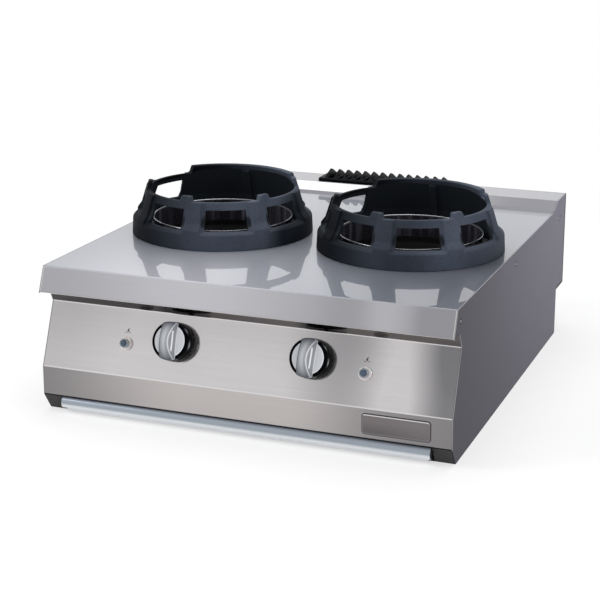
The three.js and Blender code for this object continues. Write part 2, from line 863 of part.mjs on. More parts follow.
function makeMixingTube(name, burner, start) {
  const mouth = start - tubeLength;
  const bore = turned([
    [tubeBore, -start],
    [tubeBore + tubeWall, -start],
    [tubeBore + tubeWall, -mouth - bellLength],
    [bellRadius, -mouth],
    [bellRadius - tubeWall, -mouth],
    [tubeBore, -mouth - bellLength],
    [tubeBore, -start],
  ], 16);
  bore.rotateX(Math.PI / 2).translate(0, 0, tubeAxisHeight);
  const armX = bellRadius - tubeWall / 2;
  const plateY = mouth - bracketReach;
  const arms = [-1, 1].map((side) => box(
    [side * (armX - bracketThickness / 2), side * (armX + bracketThickness / 2)],
    [plateY, mouth + tubeWall / 4],
    [tubeAxisHeight - injectorRadius, tubeAxisHeight + injectorRadius],
  ));
  const plate = box(
    [-armX - bracketThickness / 2, armX + bracketThickness / 2],
    [plateY - bracketPlate, plateY],
    [tubeAxisHeight - injectorRadius * 1.5, tubeAxisHeight + injectorRadius * 1.5],
  );
  const hole = bar(
    [0, plateY - 2 * bracketPlate, tubeAxisHeight],
    [0, plateY + bracketPlate, tubeAxisHeight],
    nozzleRadius + gap,
    16,
  );
  place(`mixing_tube_${name}`, cut(join(bore, plate, ...arms), hole), 'castIron', burner);

  const seat = plateY - bracketPlate - gap;
  const inlet = seat - injectorLength;
  const hex = bar([0, inlet, tubeAxisHeight], [0, seat, tubeAxisHeight], injectorRadius, 6);
  const nozzle = bar(
    [0, seat - 1, tubeAxisHeight],
    [0, seat + bracketPlate + nozzleLength, tubeAxisHeight],
    nozzleRadius,
    12,
  );
  place(`injector_${name}`, join(hex, nozzle), 'brass', burner);
  return [burner.position.x, burner.position.y + inlet - gap, tubeAxisHeight];
}

function makePilot(name, inward, burner) {
  const x = inward * pilotReach;
  const plateX = [inward * burnerWaist, inward * (pilotReach + pilotPlateLap)];
  const tongue = box(plateX, [-pilotPlateWidth / 2, pilotPlateWidth / 2], [
    pilotPlateZ,
    pilotPlateZ + pilotPlate,
  ]);
  const relief = turned([
    [0, railTop],
    [burnerHeadRadius + gap, railTop],
    [burnerHeadRadius + gap, capSeat],
    [0, capSeat],
  ], middleFacets);
  const foot = pilotPlateZ - pilotFoot;
  const tube = bar([x, 0, foot], [x, 0, pilotTop], pilotRadius, 12);
  const hood = bar([x, 0, pilotTop - hoodHeight], [x, 0, pilotTop], pilotRadius + clipFlange, 12);
  const drills = [-1, 1].map((side) => bar(
    [x, side * pilotSpacing, pilotPlateZ - pilotPlate],
    [x, side * pilotSpacing, pilotPlateZ + 2 * pilotPlate],
    (side < 0 ? probeRadius : ceramicRadius) + gap,
    12,
  ));
  place(`pilot_burner_${name}`, cut(join(tongue, tube, hood), relief, ...drills), 'brass', burner);

  const probe = bar([x, -pilotSpacing, foot], [x, -pilotSpacing, pilotTop], probeRadius, 12);
  const collar = (y, radius) => bar(
    [x, y, pilotPlateZ + pilotPlate + gap],
    [x, y, pilotPlateZ + pilotPlate + clipHeight],
    radius + clipFlange,
    12,
  );
  const ceramic = bar([x, pilotSpacing, foot], [x, pilotSpacing, pilotTop - sparkLength], ceramicRadius, 12);
  const sparkFrom = pilotTop - sparkLength - 1;
  const spark = bar([x, pilotSpacing, sparkFrom], [x, pilotSpacing, pilotTop], sparkRadius, 8);
  const electrode = join(ceramic, spark, collar(pilotSpacing, ceramicRadius));
  place(`spark_electrode_${name}`, electrode, 'ceramic', burner);

  const at = (y) => [burner.position.x + x, burner.position.y + y, foot];
  return {
    probe: join(probe, collar(-pilotSpacing, probeRadius)).translate(burner.position.x, burnerY, 0),
    probeFoot: at(-pilotSpacing),
    pilotFoot: at(0),
    sparkFoot: at(pilotSpacing),
  };
}

// ---- Controls ----

function makeControls({ name, hand }) {
  const knobX = (hand * knobSpacing) / 2;
  const atKnob = (geometry) => geometry.translate(knobX, -knobDrop, 0);
  const knobTop = knobStandoff + knobHeight;
  const boreRadius = spindleRadius + spindleClearance;
  place(`knob_${name}`, atKnob(turned([
    [boreRadius, knobStandoff],
    [knobRadius - knobFootChamfer, knobStandoff],
    [knobRadius, knobStandoff + knobFootChamfer],
    [knobRadius, knobTop - knobEdge],
    [knobRadius - knobEdge, knobTop],
    [knobRadius - knobRim, knobTop],
    [knobRadius - knobRim, knobTop - faceThickness],
    [boreRadius, knobTop - faceThickness],
    [boreRadius, knobStandoff],
  ], middleFacets)), 'blackPlastic', panel);

  const faceRadius = knobRadius - knobRim - gap;
  const seat = knobTop - faceThickness + gap;
  const disc = bar([0, 0, seat], [0, 0, knobTop], faceRadius, middleFacets);
  const arch = [[-faceRadius, seat], [faceRadius, seat]];
  const archSteps = 12;
  for (let i = 0; i <= archSteps; i += 1) {
    const t = 1 - (2 * i) / archSteps;
    arch.push([t * faceRadius, knobTop + gripHeight * (1 - t * t)]);
  }
  const gripBar = across(arch, -gripLeft, gripRight);
  const facetSlope = gripHeight / (gripRight - facetReach);
  const wedge = standing([
    [gripRight, 0],
    [gripRight + gripHeight, 0],
    [gripRight + gripHeight, 2 * gripHeight],
    [gripRight - (2 * gripHeight) / facetSlope, 2 * gripHeight],
  ], -knobRadius, knobRadius);
  wedge.rotateX(Math.PI / 2).translate(0, 0, knobTop);
  const trim = bar([0, 0, seat], [0, 0, knobTop + 2 * gripHeight], faceRadius, middleFacets);
  const grip = cut(common(gripBar, trim), wedge);
  place(`knob_face_${name}`, atKnob(join(disc, grip)), 'silverFace', panel);

  const spindle = bar([0, 0, -spindleDepth], [0, 0, knobStandoff + spindleInset], spindleRadius, 20);
  place(`tap_spindle_${name}`, atKnob(spindle), 'brass', panel);
  const rodTop = -spindleDepth - gap;
  const rod = bar([0, 0, rodTop - rodLength], [0, 0, rodTop], rodRadius, 12);
  place(`push_rod_${name}`, atKnob(rod), 'brass', panel);

  const tapEnd = -tapStart - tapLength;
  const halfTap = tapHeight / 2;
  const body = box([-tapWidth / 2, tapWidth / 2], [-halfTap, halfTap], [tapEnd, -tapStart]);
  const neck = bar([0, 0, -tapStart - 1], [0, 0, -sheet - gap], tapNeckRadius, 20);
  const outletEnd = hand * (tapWidth / 2 + tapOutletLength);
  const outlet = bar([0, 0, -tapOutletDepth], [outletEnd, 0, -tapOutletDepth], tapOutletRadius, 12);
  const stub = bar(
    [0, 0, -manifoldDepth],
    [0, -halfTap - tapStubLength, -manifoldDepth],
    tapStubRadius,
    16,
  );
  const union = bar([0, 0, tapEnd + 1], [0, 0, tapEnd - tapUnionLength], tapUnionRadius, 6);
  const pilotPort = bar(
    [0, 0, -tapOutletDepth],
    [0, halfTap + tapUnionLength, -tapOutletDepth],
    tapUnionRadius,
    6,
  );
  const spindleBore = bar([0, 0, -spindleDepth - 2 * knobPush], [0, 0, 0], boreRadius, 20);
  const rodBoreRadius = rodRadius + spindleClearance;
  const rodBore = bar([0, 0, rodTop - rodLength - 2 * knobPush], [0, 0, rodTop], rodBoreRadius, 12);
  const tap = cut(join(body, neck, outlet, stub, union, pilotPort), spindleBore, rodBore);
  place(`gas_tap_${name}`, atKnob(tap), 'brass', panel);

  const piezoX = (hand * piezoSpacing) / 2;
  const atPiezo = (geometry) => geometry.translate(piezoX, -piezoDrop, 0);
  const wellRadius = buttonRadius + gap;
  const wellFoot = piezoNoseHeight + buttonStand - buttonLength - buttonPush - 1;
  place(`piezo_housing_${name}`, atPiezo(turned([
    [0, -piezoBodyLength],
    [piezoBodyRadius, -piezoBodyLength],
    [piezoBodyRadius, gap],
    [piezoCollarRadius, gap],
    [piezoCollarRadius, piezoCollarHeight - 1],
    [piezoCollarRadius - 1, piezoCollarHeight],
    [piezoNoseRadius, piezoCollarHeight],
    [piezoNoseRadius, piezoNoseHeight],
    [wellRadius, piezoNoseHeight],
    [wellRadius, wellFoot],
    [0, wellFoot],
  ], 20)), 'clearPlastic', panel);
  const buttonTop = piezoNoseHeight + buttonStand;
  place(`piezo_button_${name}`, atPiezo(turned([
    [0, buttonTop - buttonLength],
    [buttonRadius, buttonTop - buttonLength],
    [buttonRadius, buttonTop - 1],
    [buttonRadius - 1, buttonTop],
    [0, buttonTop],
  ], 16)), 'bluePlastic', panel);
}

// The tubes and leads between the controls and the burner's ends.
function makeGasLines({ name, hand }, ends) {
  const knobX = (hand * knobSpacing) / 2;
  const outletX = knobX + hand * (tapWidth / 2 + tapOutletLength + gap);
  const outlet = fromPanel(outletX, knobDrop, -tapOutletDepth);
  const inlet = ends.inlet;
  const bendX = hand * tapOutletLength;
  place(`supply_tube_${name}`, bent([
    outlet,
    [outlet[0] + bendX, outlet[1], outlet[2]],
    [inlet[0] - bendX / 2, (outlet[1] + inlet[1]) / 2, (outlet[2] + inlet[2]) / 2],
    [inlet[0], inlet[1] - tapOutletLength / 2, inlet[2]],
    inlet,
  ], supplyRadius, 8, 12), 'copper');

  const rear = -tapStart - tapLength - tapUnionLength - gap;
  const magnet = fromPanel(knobX, knobDrop, rear);
  const magnetOut = fromPanel(knobX, knobDrop, rear - 2 * leadSpread);
  const overRails = railTop + leadClearance;
  const [footX, footY, footZ] = ends.probeFoot;
  const lead = bent([
    magnet,
    magnetOut,
    [(magnetOut[0] + footX) / 2, (magnetOut[1] + footY) / 2, overRails],
    [footX, footY - leadSpread / 2, footZ - leadClearance],
    [footX, footY, footZ - leadClearance / 2],
    [footX, footY, footZ + 1],
  ], leadRadius, leadFacets, 16);
  place(`thermocouple_${name}`, join(ends.probe, lead), 'copper');

  const inward = -hand;
  const portDrop = knobDrop - tapHeight / 2 - tapUnionLength - gap;
  const port = fromPanel(knobX, portDrop, -tapOutletDepth);
  const portOut = fromPanel(knobX, portDrop - leadSpread / 2, -tapOutletDepth);
  const [pilotX, pilotY, pilotZ] = ends.pilotFoot;
  place(`pilot_tube_${name}`, bent([
    port,
    portOut,
    [pilotX + inward * leadSpread, (portOut[1] + pilotY) / 2, overRails + leadSpread],
    [pilotX + inward * leadSpread, pilotY - leadSpread / 2, pilotZ - leadClearance],
    [pilotX, pilotY, pilotZ - leadClearance / 2],
    [pilotX, pilotY, pilotZ - gap],
  ], leadRadius, leadFacets, 18), 'copper');

  const piezoX = (hand * piezoSpacing) / 2;
  const [sparkX, sparkY, sparkZ] = ends.sparkFoot;
  const aisleX = sparkX + inward * 2 * leadSpread;
  const railFront = burnerY - (railSpacing + railWidth) / 2;
  place(`ignition_lead_${name}`, bent([
    fromPanel(piezoX, piezoDrop, -piezoBodyLength - gap),
    fromPanel(piezoX, piezoDrop, -piezoBodyLength - 2 * leadSpread),
    [ends.inlet[0], ends.inlet[1], railTop - railHeight],
    [aisleX, (ends.inlet[1] + railFront) / 2, railTop],
    [aisleX, railFront, overRails],
    [aisleX, sparkY - leadSpread, sparkZ - 2 * leadClearance],
    [sparkX, sparkY, sparkZ - leadClearance / 2],
    [sparkX, sparkY, sparkZ - gap],
  ], leadRadius, leadFacets, 28), 'leadJacket');
}

function makeManifold() {
  const drop = knobDrop + tapHeight / 2 + tapStubLength + manifoldRadius + gap;
  const [, y, z] = fromPanel(0, drop, -manifoldDepth);
  const endY = bodyBackY - inletReach;
  const corners = [[gasRunX, y, z], [gasRunX, y, gasRunHeight]];
  const knuckles = corners.map((corner) => {
    const ball = new THREE.SphereGeometry(manifoldRadius + knuckleStand, 10, 6);
    return ball.translate(...corner);
  });
  place('gas_manifold', join(
    bar([-knobSpacing / 2 - manifoldOverrun, y, z], [gasRunX, y, z], manifoldRadius, smallFacets),
    bar(corners[0], corners[1], manifoldRadius, smallFacets),
    bar(corners[1], [gasRunX, endY, gasRunHeight], manifoldRadius, smallFacets),
    ...knuckles,
  ), 'galvanised');
  const hexY = endY + gap;
  const along = (y0, y1, radius, facets) => bar(
    [gasRunX, y0, gasRunHeight],
    [gasRunX, y1, gasRunHeight],
    radius,
    facets,
  );
  const spigotEnd = bodyBackY + inletReach;
  const hex = along(hexY, hexY + inletHexLength, inletHexRadius, 6);
  const spigot = along(hexY, spigotEnd, inletRadius, 20);
  const bore = along(hexY + inletHexLength, spigotEnd + 1, inletRadius - inletWall, 20);
  place('gas_inlet', cut(join(hex, spigot), bore), 'brass');
}

// ---- Drip tray ----

const runnerZ = sheet + gap;
const trayFloorZ = runnerZ + sheet + gap;

function makeDripTray() {
  const frontY = lipY + trayLipDepth;
  const endY = frontY + trayLength;
  const floorUp = [trayFloorZ, trayFloorZ + trayWallHeight];
  const shell = box([-trayHalf, trayHalf], [frontY, endY], floorUp);
  const hollow = box(
    [-trayHalf + trayWall, trayHalf - trayWall],
    [frontY + trayWall, endY - trayWall],
    [trayFloorZ + trayWall, trayFloorZ + trayWallHeight + 1],
  );
  const radius = trayLipHeight / 2;
  const middleZ = trayLipBottom + radius;
  const lipBack = frontY + trayWall / 2;
  const lip = [
    [lipBack, trayLipBottom + trayLipTuck],
    [lipBack, trayLipBottom + trayLipHeight - trayLipTuck],
  ];
  const steps = 10;
  for (let i = 0; i <= steps; i += 1) {
    const angle = (90 + (i * 180) / steps) * degree;
    lip.push([frontY + trayLipDepth * Math.cos(angle), middleZ + radius * Math.sin(angle)]);
  }
  const roll = across(lip, -trayLipHalf, trayLipHalf);
  place('drip_tray', join(cut(shell, hollow), roll), 'polishedSteel');
}

function makeRunner({ name, hand }) {
  const wall = innerHalf - sheet - gap;
  const y = [lipY + runnerFront, lipY + runnerFront + runnerLength];
  const web = box([hand * (wall - sheet), hand * wall], y, [runnerZ, runnerZ + runnerWeb]);
  const flange = box([hand * (wall - runnerFlange), hand * wall], y, [runnerZ, runnerZ + sheet]);
  place(`tray_runner_${name}`, join(web, flange), 'galvanised');
}

// ---- Flue ----

function makeFlue() {
  const half = flueWidth / 2;
  const y = [upstandY + flueInset, panelEndY - flueInset];
  const top = upstandHeight - sheet - gap;
  const shell = box([-half, half], y, [flueFloor, top]);
  const hollow = box([-half + sheet, half - sheet], [y[0] + sheet, y[1] - sheet], [
    flueFloor + sheet,
    top + sheet,
  ]);
  const mouthHalf = half - flueMouthInset;
  const mouth = box([-mouthHalf, mouthHalf], [y[0] - sheet, y[0] + 2 * sheet], [
    flueFloor + flueMouthInset,
    flueWindowTop,
  ]);
  place('flue_duct', cut(shell, hollow, mouth), 'galvanised');
}

function makeGrille() {
  const foot = upstandHeight + gap;
  const top = foot + grillePlate;
  const bevelled = [
    [grilleY[0], foot],
    [grilleY[1], foot],
    [grilleY[1], top - grilleBevel],
    [grilleY[1] - grilleBevel, top],
    [grilleY[0] + grilleBevel, top],
    [grilleY[0], top - grilleBevel],
  ];
  const plate = across(bevelled, -grilleWidth / 2, grilleWidth / 2);
  const middle = (grilleY[0] + grilleY[1]) / 2;
  const slots = Array.from({ length: finCount - 1 }, (_, i) => {
    const x = (i - (finCount - 2) / 2) * finPitch;
    return box([x - slotWidth / 2, x + slotWidth / 2], [openingY[0], openingY[1]], [foot - 1, top + 1]);
  });
  const fins = Array.from({ length: finCount }, (_, i) => {
    const x = (i - (finCount - 1) / 2) * finPitch;
    const steps = 10;
    const arch = Array.from({ length: steps + 1 }, (_unused, k) => {
      const t = 1 - (2 * k) / steps;
      return [middle + (t * finLength) / 2, top - 1 + (finHeight + 1) * (1 - Math.abs(t) ** finCurve)];
    });
    return across(arch, x - finThickness / 2, x + finThickness / 2);
  });
  const lugs = [-1, 1].map((hand) => box(
    [hand * (openingHalf - gap - sheet), hand * (openingHalf - gap)],
    [openingY[0] + gap, openingY[1] - gap],
    [foot - grilleLug, foot + 1],
  ));
  place('flue_grille', join(cut(plate, ...slots), ...fins, ...lugs), 'blackEnamel');
}

sides.forEach(makeSidePanel);
makeWorktop();
makeControlPanel();
makeBadge();
makeRearPanel();
makeBasePan();
makeBurnerRails();
sides.forEach(makeWokRing);
sides.forEach(makeControls);
sides.forEach((side) => makeGasLines(side, makeBurner(side)));
makeManifold();
makeDripTray();
sides.forEach(makeRunner);
makeFlue();
makeGrille();

export default group;
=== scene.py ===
import json
import math

import bmesh
import bpy
import numpy as np
from mathutils import Matrix

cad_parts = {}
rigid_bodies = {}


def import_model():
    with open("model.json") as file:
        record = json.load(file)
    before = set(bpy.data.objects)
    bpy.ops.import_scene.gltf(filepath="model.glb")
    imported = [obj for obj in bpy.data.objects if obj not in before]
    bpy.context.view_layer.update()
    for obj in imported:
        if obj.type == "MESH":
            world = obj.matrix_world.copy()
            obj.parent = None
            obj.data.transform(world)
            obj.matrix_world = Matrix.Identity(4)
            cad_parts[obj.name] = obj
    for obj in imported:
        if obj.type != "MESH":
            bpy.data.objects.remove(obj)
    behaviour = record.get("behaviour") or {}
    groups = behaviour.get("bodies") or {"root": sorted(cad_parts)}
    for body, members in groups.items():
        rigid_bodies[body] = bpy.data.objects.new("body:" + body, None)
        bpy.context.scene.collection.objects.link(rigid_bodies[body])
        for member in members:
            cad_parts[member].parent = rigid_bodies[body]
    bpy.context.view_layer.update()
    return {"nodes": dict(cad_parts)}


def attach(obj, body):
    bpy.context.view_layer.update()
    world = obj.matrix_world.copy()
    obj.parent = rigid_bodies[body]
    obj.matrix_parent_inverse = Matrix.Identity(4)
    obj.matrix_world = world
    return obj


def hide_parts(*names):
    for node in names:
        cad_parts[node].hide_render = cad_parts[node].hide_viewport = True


# Wok range with two burners. Shapes are worked out in millimetres and made in metres;
# +Z is up, the front faces -Y, and the origin is on the floor under the casing.

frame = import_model()
nodes = frame["nodes"]
mm = 0.001
sides = {"left": -1, "right": 1}
print("frame loaded")


# Outlines and skins

def unit(vectors):
    # each vector over its own length
    return vectors / np.linalg.norm(vectors, axis=-1, keepdims=True)


def spinAbout(degrees):
    # a turn about the third axis, for rows of points
    c, s = math.cos(math.radians(degrees)), math.sin(math.radians(degrees))
    return np.array([[c, s, 0], [-s, c, 0], [0, 0, 1]])


def rounded(line, radii, steps=6, closed=True):
    # each corner becomes the arc of a circle that touches its two sides
    p = np.asarray(line, float)
    r = np.array(np.broadcast_to(radii, len(p)), float)
    if not closed:
        r[[0, -1]] = 0
    back, on = unit(np.roll(p, 1, 0) - p), unit(np.roll(p, -1, 0) - p)
    half = np.arccos(np.clip((back * on).sum(1), -1, 1)) / 2
    soft = (r > 1e-6) & (half < math.pi / 2 - 1e-4) & (half > 1e-4)
    half = np.where(soft, half, math.pi / 4)
    middle = unit(np.where(soft[:, None], back + on, [1.0, 0.0]))
    centre = p + middle * (r / np.sin(half))[:, None]
    reach = (r / np.tan(half))[:, None]
    start, end = p + back * reach - centre, p + on * reach - centre
    sweep = (math.pi - 2 * half)[:, None]
    t = np.linspace(0, 1, steps + 1)
    arc = (np.sin((1 - t) * sweep) / np.sin(sweep))[..., None] * start[:, None]
    arc = arc + (np.sin(t * sweep) / np.sin(sweep))[..., None] * end[:, None] + centre[:, None]
    points = np.where(soft[:, None, None], arc, p[:, None]).reshape(-1, 2)
    apart = np.linalg.norm(points - np.roll(points, 1, 0), axis=1) > 1e-5
    apart[0] = not closed or apart[0]
    return points[apart]


def folded(line, thickness, bend):
    # a bent sheet: the line, and the same line moved to its right by the thickness;
    # the inner side of a bend has the bend's radius, the outer side has the thickness more
    p = np.asarray(line, float)
    step = unit(np.diff(p, axis=0))
    before, after = np.vstack([step[:1], step]), np.vstack([step, step[-1:]])
    turn = before[:, 0] * after[:, 1] - before[:, 1] * after[:, 0]
    aside = np.stack([before[:, 1] + after[:, 1], -before[:, 0] - after[:, 0]], 1)
    moved = p + aside * (2 * thickness / (aside ** 2).sum(1))[:, None]
    right = turn < 0
    near = rounded(p, bend + np.where(right, thickness, 0), closed=False)
    far = rounded(moved, bend + np.where(right, 0, thickness), closed=False)
    return np.vstack([near, far[::-1]])


def around(count):
    # the angles of a full turn, as a column
    return np.linspace(0, 2 * math.pi, count, endpoint=False)[:, None]


def skin(rows, loop=False, across=True):
    # rows of points joined by quads; loop joins the last row to the first, across closes each row
    count, width = rows.shape[:2]
    i, k = np.meshgrid(
        np.arange(count if loop else count - 1), np.arange(width if across else width - 1), indexing="ij"
    )
    j, m = (i + 1) % count, (k + 1) % width
    quads = np.stack([i * width + k, j * width + k, j * width + m, i * width + m], -1).reshape(-1, 4)
    faces = quads.tolist()
    if not loop:
        faces += [list(range(width)), list(range((count - 1) * width, count * width))]
    return rows.reshape(-1, 3), faces


def spun(profile, steps=96, centre=(0, 0, 0), solid=False):
    # (radius, height) points turned about the Z axis; a solid's profile starts and ends on the axis
    p = np.asarray(profile, float)
    a = around(steps)
    rows = np.stack([np.cos(a) * p[:, 0], np.sin(a) * p[:, 0], p[:, 1] + 0 * a], -1)
    return skin(rows + np.asarray(centre, float), loop=True, across=not solid)


def alongX(outline, stations):
    # an outline of (y, z) points carried along X
    p = np.asarray(outline, float)
    x = np.asarray(stations, float)[:, None]
    rows = np.stack([x + 0 * p[:, 0], p[:, 0] + 0 * x, p[:, 1] + 0 * x], -1)
    return skin(rows)


def block(low, high):
    # a plain box between two corners, as a first shape to cut or cast
    (x0, y0, z0), (x1, y1, z1) = low, high
    return alongX([(y0, z0), (y1, z0), (y1, z1), (y0, z1)], sorted((x0, x1)))


# the control panel's slope: its top edge, the way up it and the way out of it
slopeTop = np.array([0, -399.5, 206.5])
upSlope = np.array([0, 0.36726, 0.93012])
outSlope = np.array([0, -0.93012, 0.36726])


def onPanel(part, x=0.0, drop=0.0):
    # (across, up the slope, out of the panel) to the casing's own axes
    points, faces = part
    place = slopeTop + points[:, :1] * [1, 0, 0] + (points[:, 1:2] - drop) * upSlope
    return place + points[:, 2:] * outSlope + [x, 0, 0], faces


# Pieces

def placed(name, data):
    thing = bpy.data.objects.new(name, data)
    bpy.context.scene.collection.objects.link(thing)
    return thing


def newPiece(name, parts, finish, sharp=30, tones=None):
    # one mesh from several skins; tones are numbers kept on the points for the finish to read
    points = np.vstack([p for p, _ in parts]) * mm
    offsets = np.cumsum([0] + [len(p) for p, _ in parts[:-1]])
    faces = [[v + int(o) for v in face] for (_, fs), o in zip(parts, offsets) for face in fs]
    mesh = bpy.data.meshes.new(name)
    mesh.from_pydata(points.tolist(), [], faces)
    if tones is not None:
        kept = mesh.attributes.new("tone", "FLOAT", "POINT")
        kept.data.foreach_set("value", tones.astype(np.float32))
    work = bmesh.new()
    work.from_mesh(mesh)
    bmesh.ops.remove_doubles(work, verts=work.verts, dist=2e-6)
    bmesh.ops.recalc_face_normals(work, faces=work.faces)
    work.to_mesh(mesh)
    work.free()
    piece = placed(name, mesh)
    if finish:
        mesh.materials.append(finishes[finish])
    smoothed(piece, sharp)
    return piece


def smoothed(piece, sharp):
    # smooth faces that meet at less than the sharp angle, in degrees
    mesh = piece.data
    mesh.polygons.foreach_set("use_smooth", np.ones(len(mesh.polygons), bool))
    mesh.set_sharp_from_angle(angle=math.radians(sharp))


def settled(piece):
    # the piece as its modifiers leave it, kept as a plain mesh
    evaluated = piece.evaluated_get(bpy.context.evaluated_depsgraph_get())
    mesh = bpy.data.meshes.new_from_object(evaluated)
    piece.modifiers.clear()
    old, piece.data = piece.data, mesh
    mesh.name = piece.name
    bpy.data.meshes.remove(old)


def carved(piece, *cutters):
    # closed skins are cut away, and the cutters are thrown out again
    for i, part in enumerate(cutters):
        cutter = newPiece(f"cutter{i}", [part], None)
        cut = piece.modifiers.new("cut", "BOOLEAN")
        cut.operation, cut.solver, cut.object = "DIFFERENCE", "EXACT", cutter
    settled(piece)
    for tool in [o for o in bpy.data.objects if o.name.startswith("cutter")]:
        bpy.data.objects.remove(tool)
    smoothed(piece, 30)


def cast(piece, grain, sharp=60):
    # overlapping closed shapes run together as one casting with soft edges
    remesh = piece.modifiers.new("cast", "REMESH")
    remesh.mode, remesh.voxel_size = "VOXEL", grain * mm
    soften = piece.modifiers.new("soften", "SMOOTH")
    soften.factor, soften.iterations = 0.5, 1
    thin = piece.modifiers.new("thin", "DECIMATE")
    thin.ratio = 0.4
    settled(piece)
    smoothed(piece, sharp)


def eased(piece, width, segments=2, angle=32):
    # narrow rounded edges, with the flat faces kept flat
    bevel = piece.modifiers.new("edges", "BEVEL")
    bevel.width, bevel.segments, bevel.limit_method = width * mm, segments, "ANGLE"
    bevel.angle_limit = math.radians(angle)
    bevel.harden_normals = False
    piece.modifiers.new("flats", "WEIGHTED_NORMAL").keep_sharp = True
    return piece


def fit(piece, body, slot, *replaced):
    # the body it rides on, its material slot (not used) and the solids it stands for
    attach(piece, body)
    if replaced:
        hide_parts(*replaced)


# Finishes

def shade(code):
    # a colour written as screen hex
    parts = [int(code[i:i + 2], 16) / 255 for i in (1, 3, 5)]
    return (*[c / 12.92 if c <= 0.04045 else ((c + 0.055) / 1.055) ** 2.4 for c in parts], 1)


class Signal:
    # a shader socket that can be used in sums
    def __init__(self, board, socket):
        self.board, self.socket = board, socket

    def sum(self, operation, first, second):
        return self.board.node("Math", {"operation": operation}, [first, second])

    def __add__(self, other):
        return self.sum("ADD", self, other)

    def __radd__(self, other):
        return self.sum("ADD", other, self)

    def __sub__(self, other):
        return self.sum("SUBTRACT", self, other)

    def __rsub__(self, other):
        return self.sum("SUBTRACT", other, self)

    def __mul__(self, other):
        return self.sum("MULTIPLY", self, other)

    def __rmul__(self, other):
        return self.sum("MULTIPLY", other, self)

    def __pow__(self, other):
        return self.sum("POWER", self, other)

    def __abs__(self):
        return self.sum("ABSOLUTE", self, 0)

    def most(self, other):
        return self.sum("MAXIMUM", self, other)


class Board:
    # a node tree and the one way nodes are put on it
    def __init__(self, tree):
        self.tree = tree
        tree.nodes.clear()

    def node(self, kind, settings=None, values=(), out=0):
        made = self.tree.nodes.new("ShaderNode" + kind)
        for key, value in (settings or {}).items():
            setattr(made, key, value)
        for key, value in values.items() if isinstance(values, dict) else enumerate(values):
            if isinstance(value, Signal):
                self.tree.links.new(value.socket, made.inputs[key])
            else:
                made.inputs[key].default_value = value
        return Signal(self, made.outputs[out]) if made.outputs else None

    def place(self, stretch=(1, 1, 1)):
        here = self.node("TexCoord", out="Object")
        return self.node("Mapping", {}, {"Vector": here, "Scale": stretch})

    def axis(self, name):
        here = self.node("TexCoord", out="Object")
        return self.node("SeparateXYZ", {}, [here], out="XYZ".index(name))

    def noise(self, scale, detail=3, rough=0.5, stretch=(1, 1, 1)):
        values = {"Vector": self.place(stretch), "Scale": scale, "Detail": detail, "Roughness": rough}
        return self.node("TexNoise", {}, values)

    def tone(self):
        # the number that newPiece keeps on a piece's points
        return self.node("Attribute", {"attribute_name": "tone"}, out="Fac")

    def fade(self, value, low, high, least=0.0, most=1.0):
        # a smooth run from least to most as the value goes from low to high
        values = {0: value, 1: low, 2: high, 3: least, 4: most}
        return self.node("MapRange", {"interpolation_type": "SMOOTHSTEP"}, values)

    def bell(self, value, middle, half):
        # 1 at the middle, easing to 0 at half to each side
        return self.fade(abs(value - middle), 0.0, half, 1.0, 0.0)

    def blend(self, mask, first, second):
        # the colours are sockets, colours or screen hex
        first, second = (shade(c) if isinstance(c, str) else c for c in (first, second))
        return self.node("Mix", {"data_type": "RGBA"}, {0: mask, 6: first, 7: second}, out=2)

    def bump(self, height, distance, under=None):
        values = {"Height": height, "Distance": distance * mm, "Strength": 1.0}
        if under:
            values["Normal"] = under
        return self.node("Bump", {}, values)

    def wear(self, colour, amount, scale):
        # broad light and dark clouds over a colour
        red, green, blue, _ = shade(colour)
        dark, light = (
            [min(c * (1 + way), 1) for c in (red, green, blue)] + [1] for way in (-amount, amount)
        )
        return self.blend(self.fade(self.noise(scale, 4), 0.3, 0.7), dark, light)


def finishOf(name, make):
    # a material whose shader takes the sockets that make gives
    material = bpy.data.materials.new(name)
    material.use_nodes = True
    board = Board(material.node_tree)
    surface = board.node("BsdfPrincipled", {}, make(board))
    board.node("OutputMaterial", {}, {"Surface": surface})
    return material


def sockets(colour, rough, normal=None, metal=0.0, specular=0.5):
    # what every finish sets on its shader
    values = {"Base Color": colour, "Roughness": rough, "Metallic": metal, "Specular IOR Level": specular}
    return {**values, "Normal": normal} if normal else values


# Places in a finish are metres on the casing's own axes. A run is (from, to) or (from, to, value
# at from, value at to), and a spot is (middle, half width).

worktopLook = {
    "grain": (14, 700, 700), "patch": (-0.12, 0.34), "patchDepth": (-0.43, 0.0, 1.0, 0.25),
    "dim": (0.12, 0.36, 0.0, 0.5), "dimDepth": (-0.2, 0.1, 1.0, 0.1),
    "ringShade": (0.3, 0.37, 0.0, 0.35), "ringShadeDepth": (-0.09, 0.14),
    "fasciaBase": 0.3, "fasciaMain": (-0.08, 0.33), "fasciaBright": (0.275, 0.06),
    "fasciaDark": (0.19, 0.07), "fasciaEnd": (0.31, 0.35, 0.0, 0.35),
    "footHighlight": (0.2345, 0.0016), "endHighlights": (0.3975, 0.0016), "fold": (0.2806, 0.2816, 1.0, 0.0),
    "slopeAcross": (-0.12, 0.33), "slopeFoot": (0.331, 0.334, 1.0, 0.0), "slopeFrom": (0.3175, 0.3185),
    "flatAcross": (0.3, 0.4), "flatFrom": (0.3665, 0.3685),
}


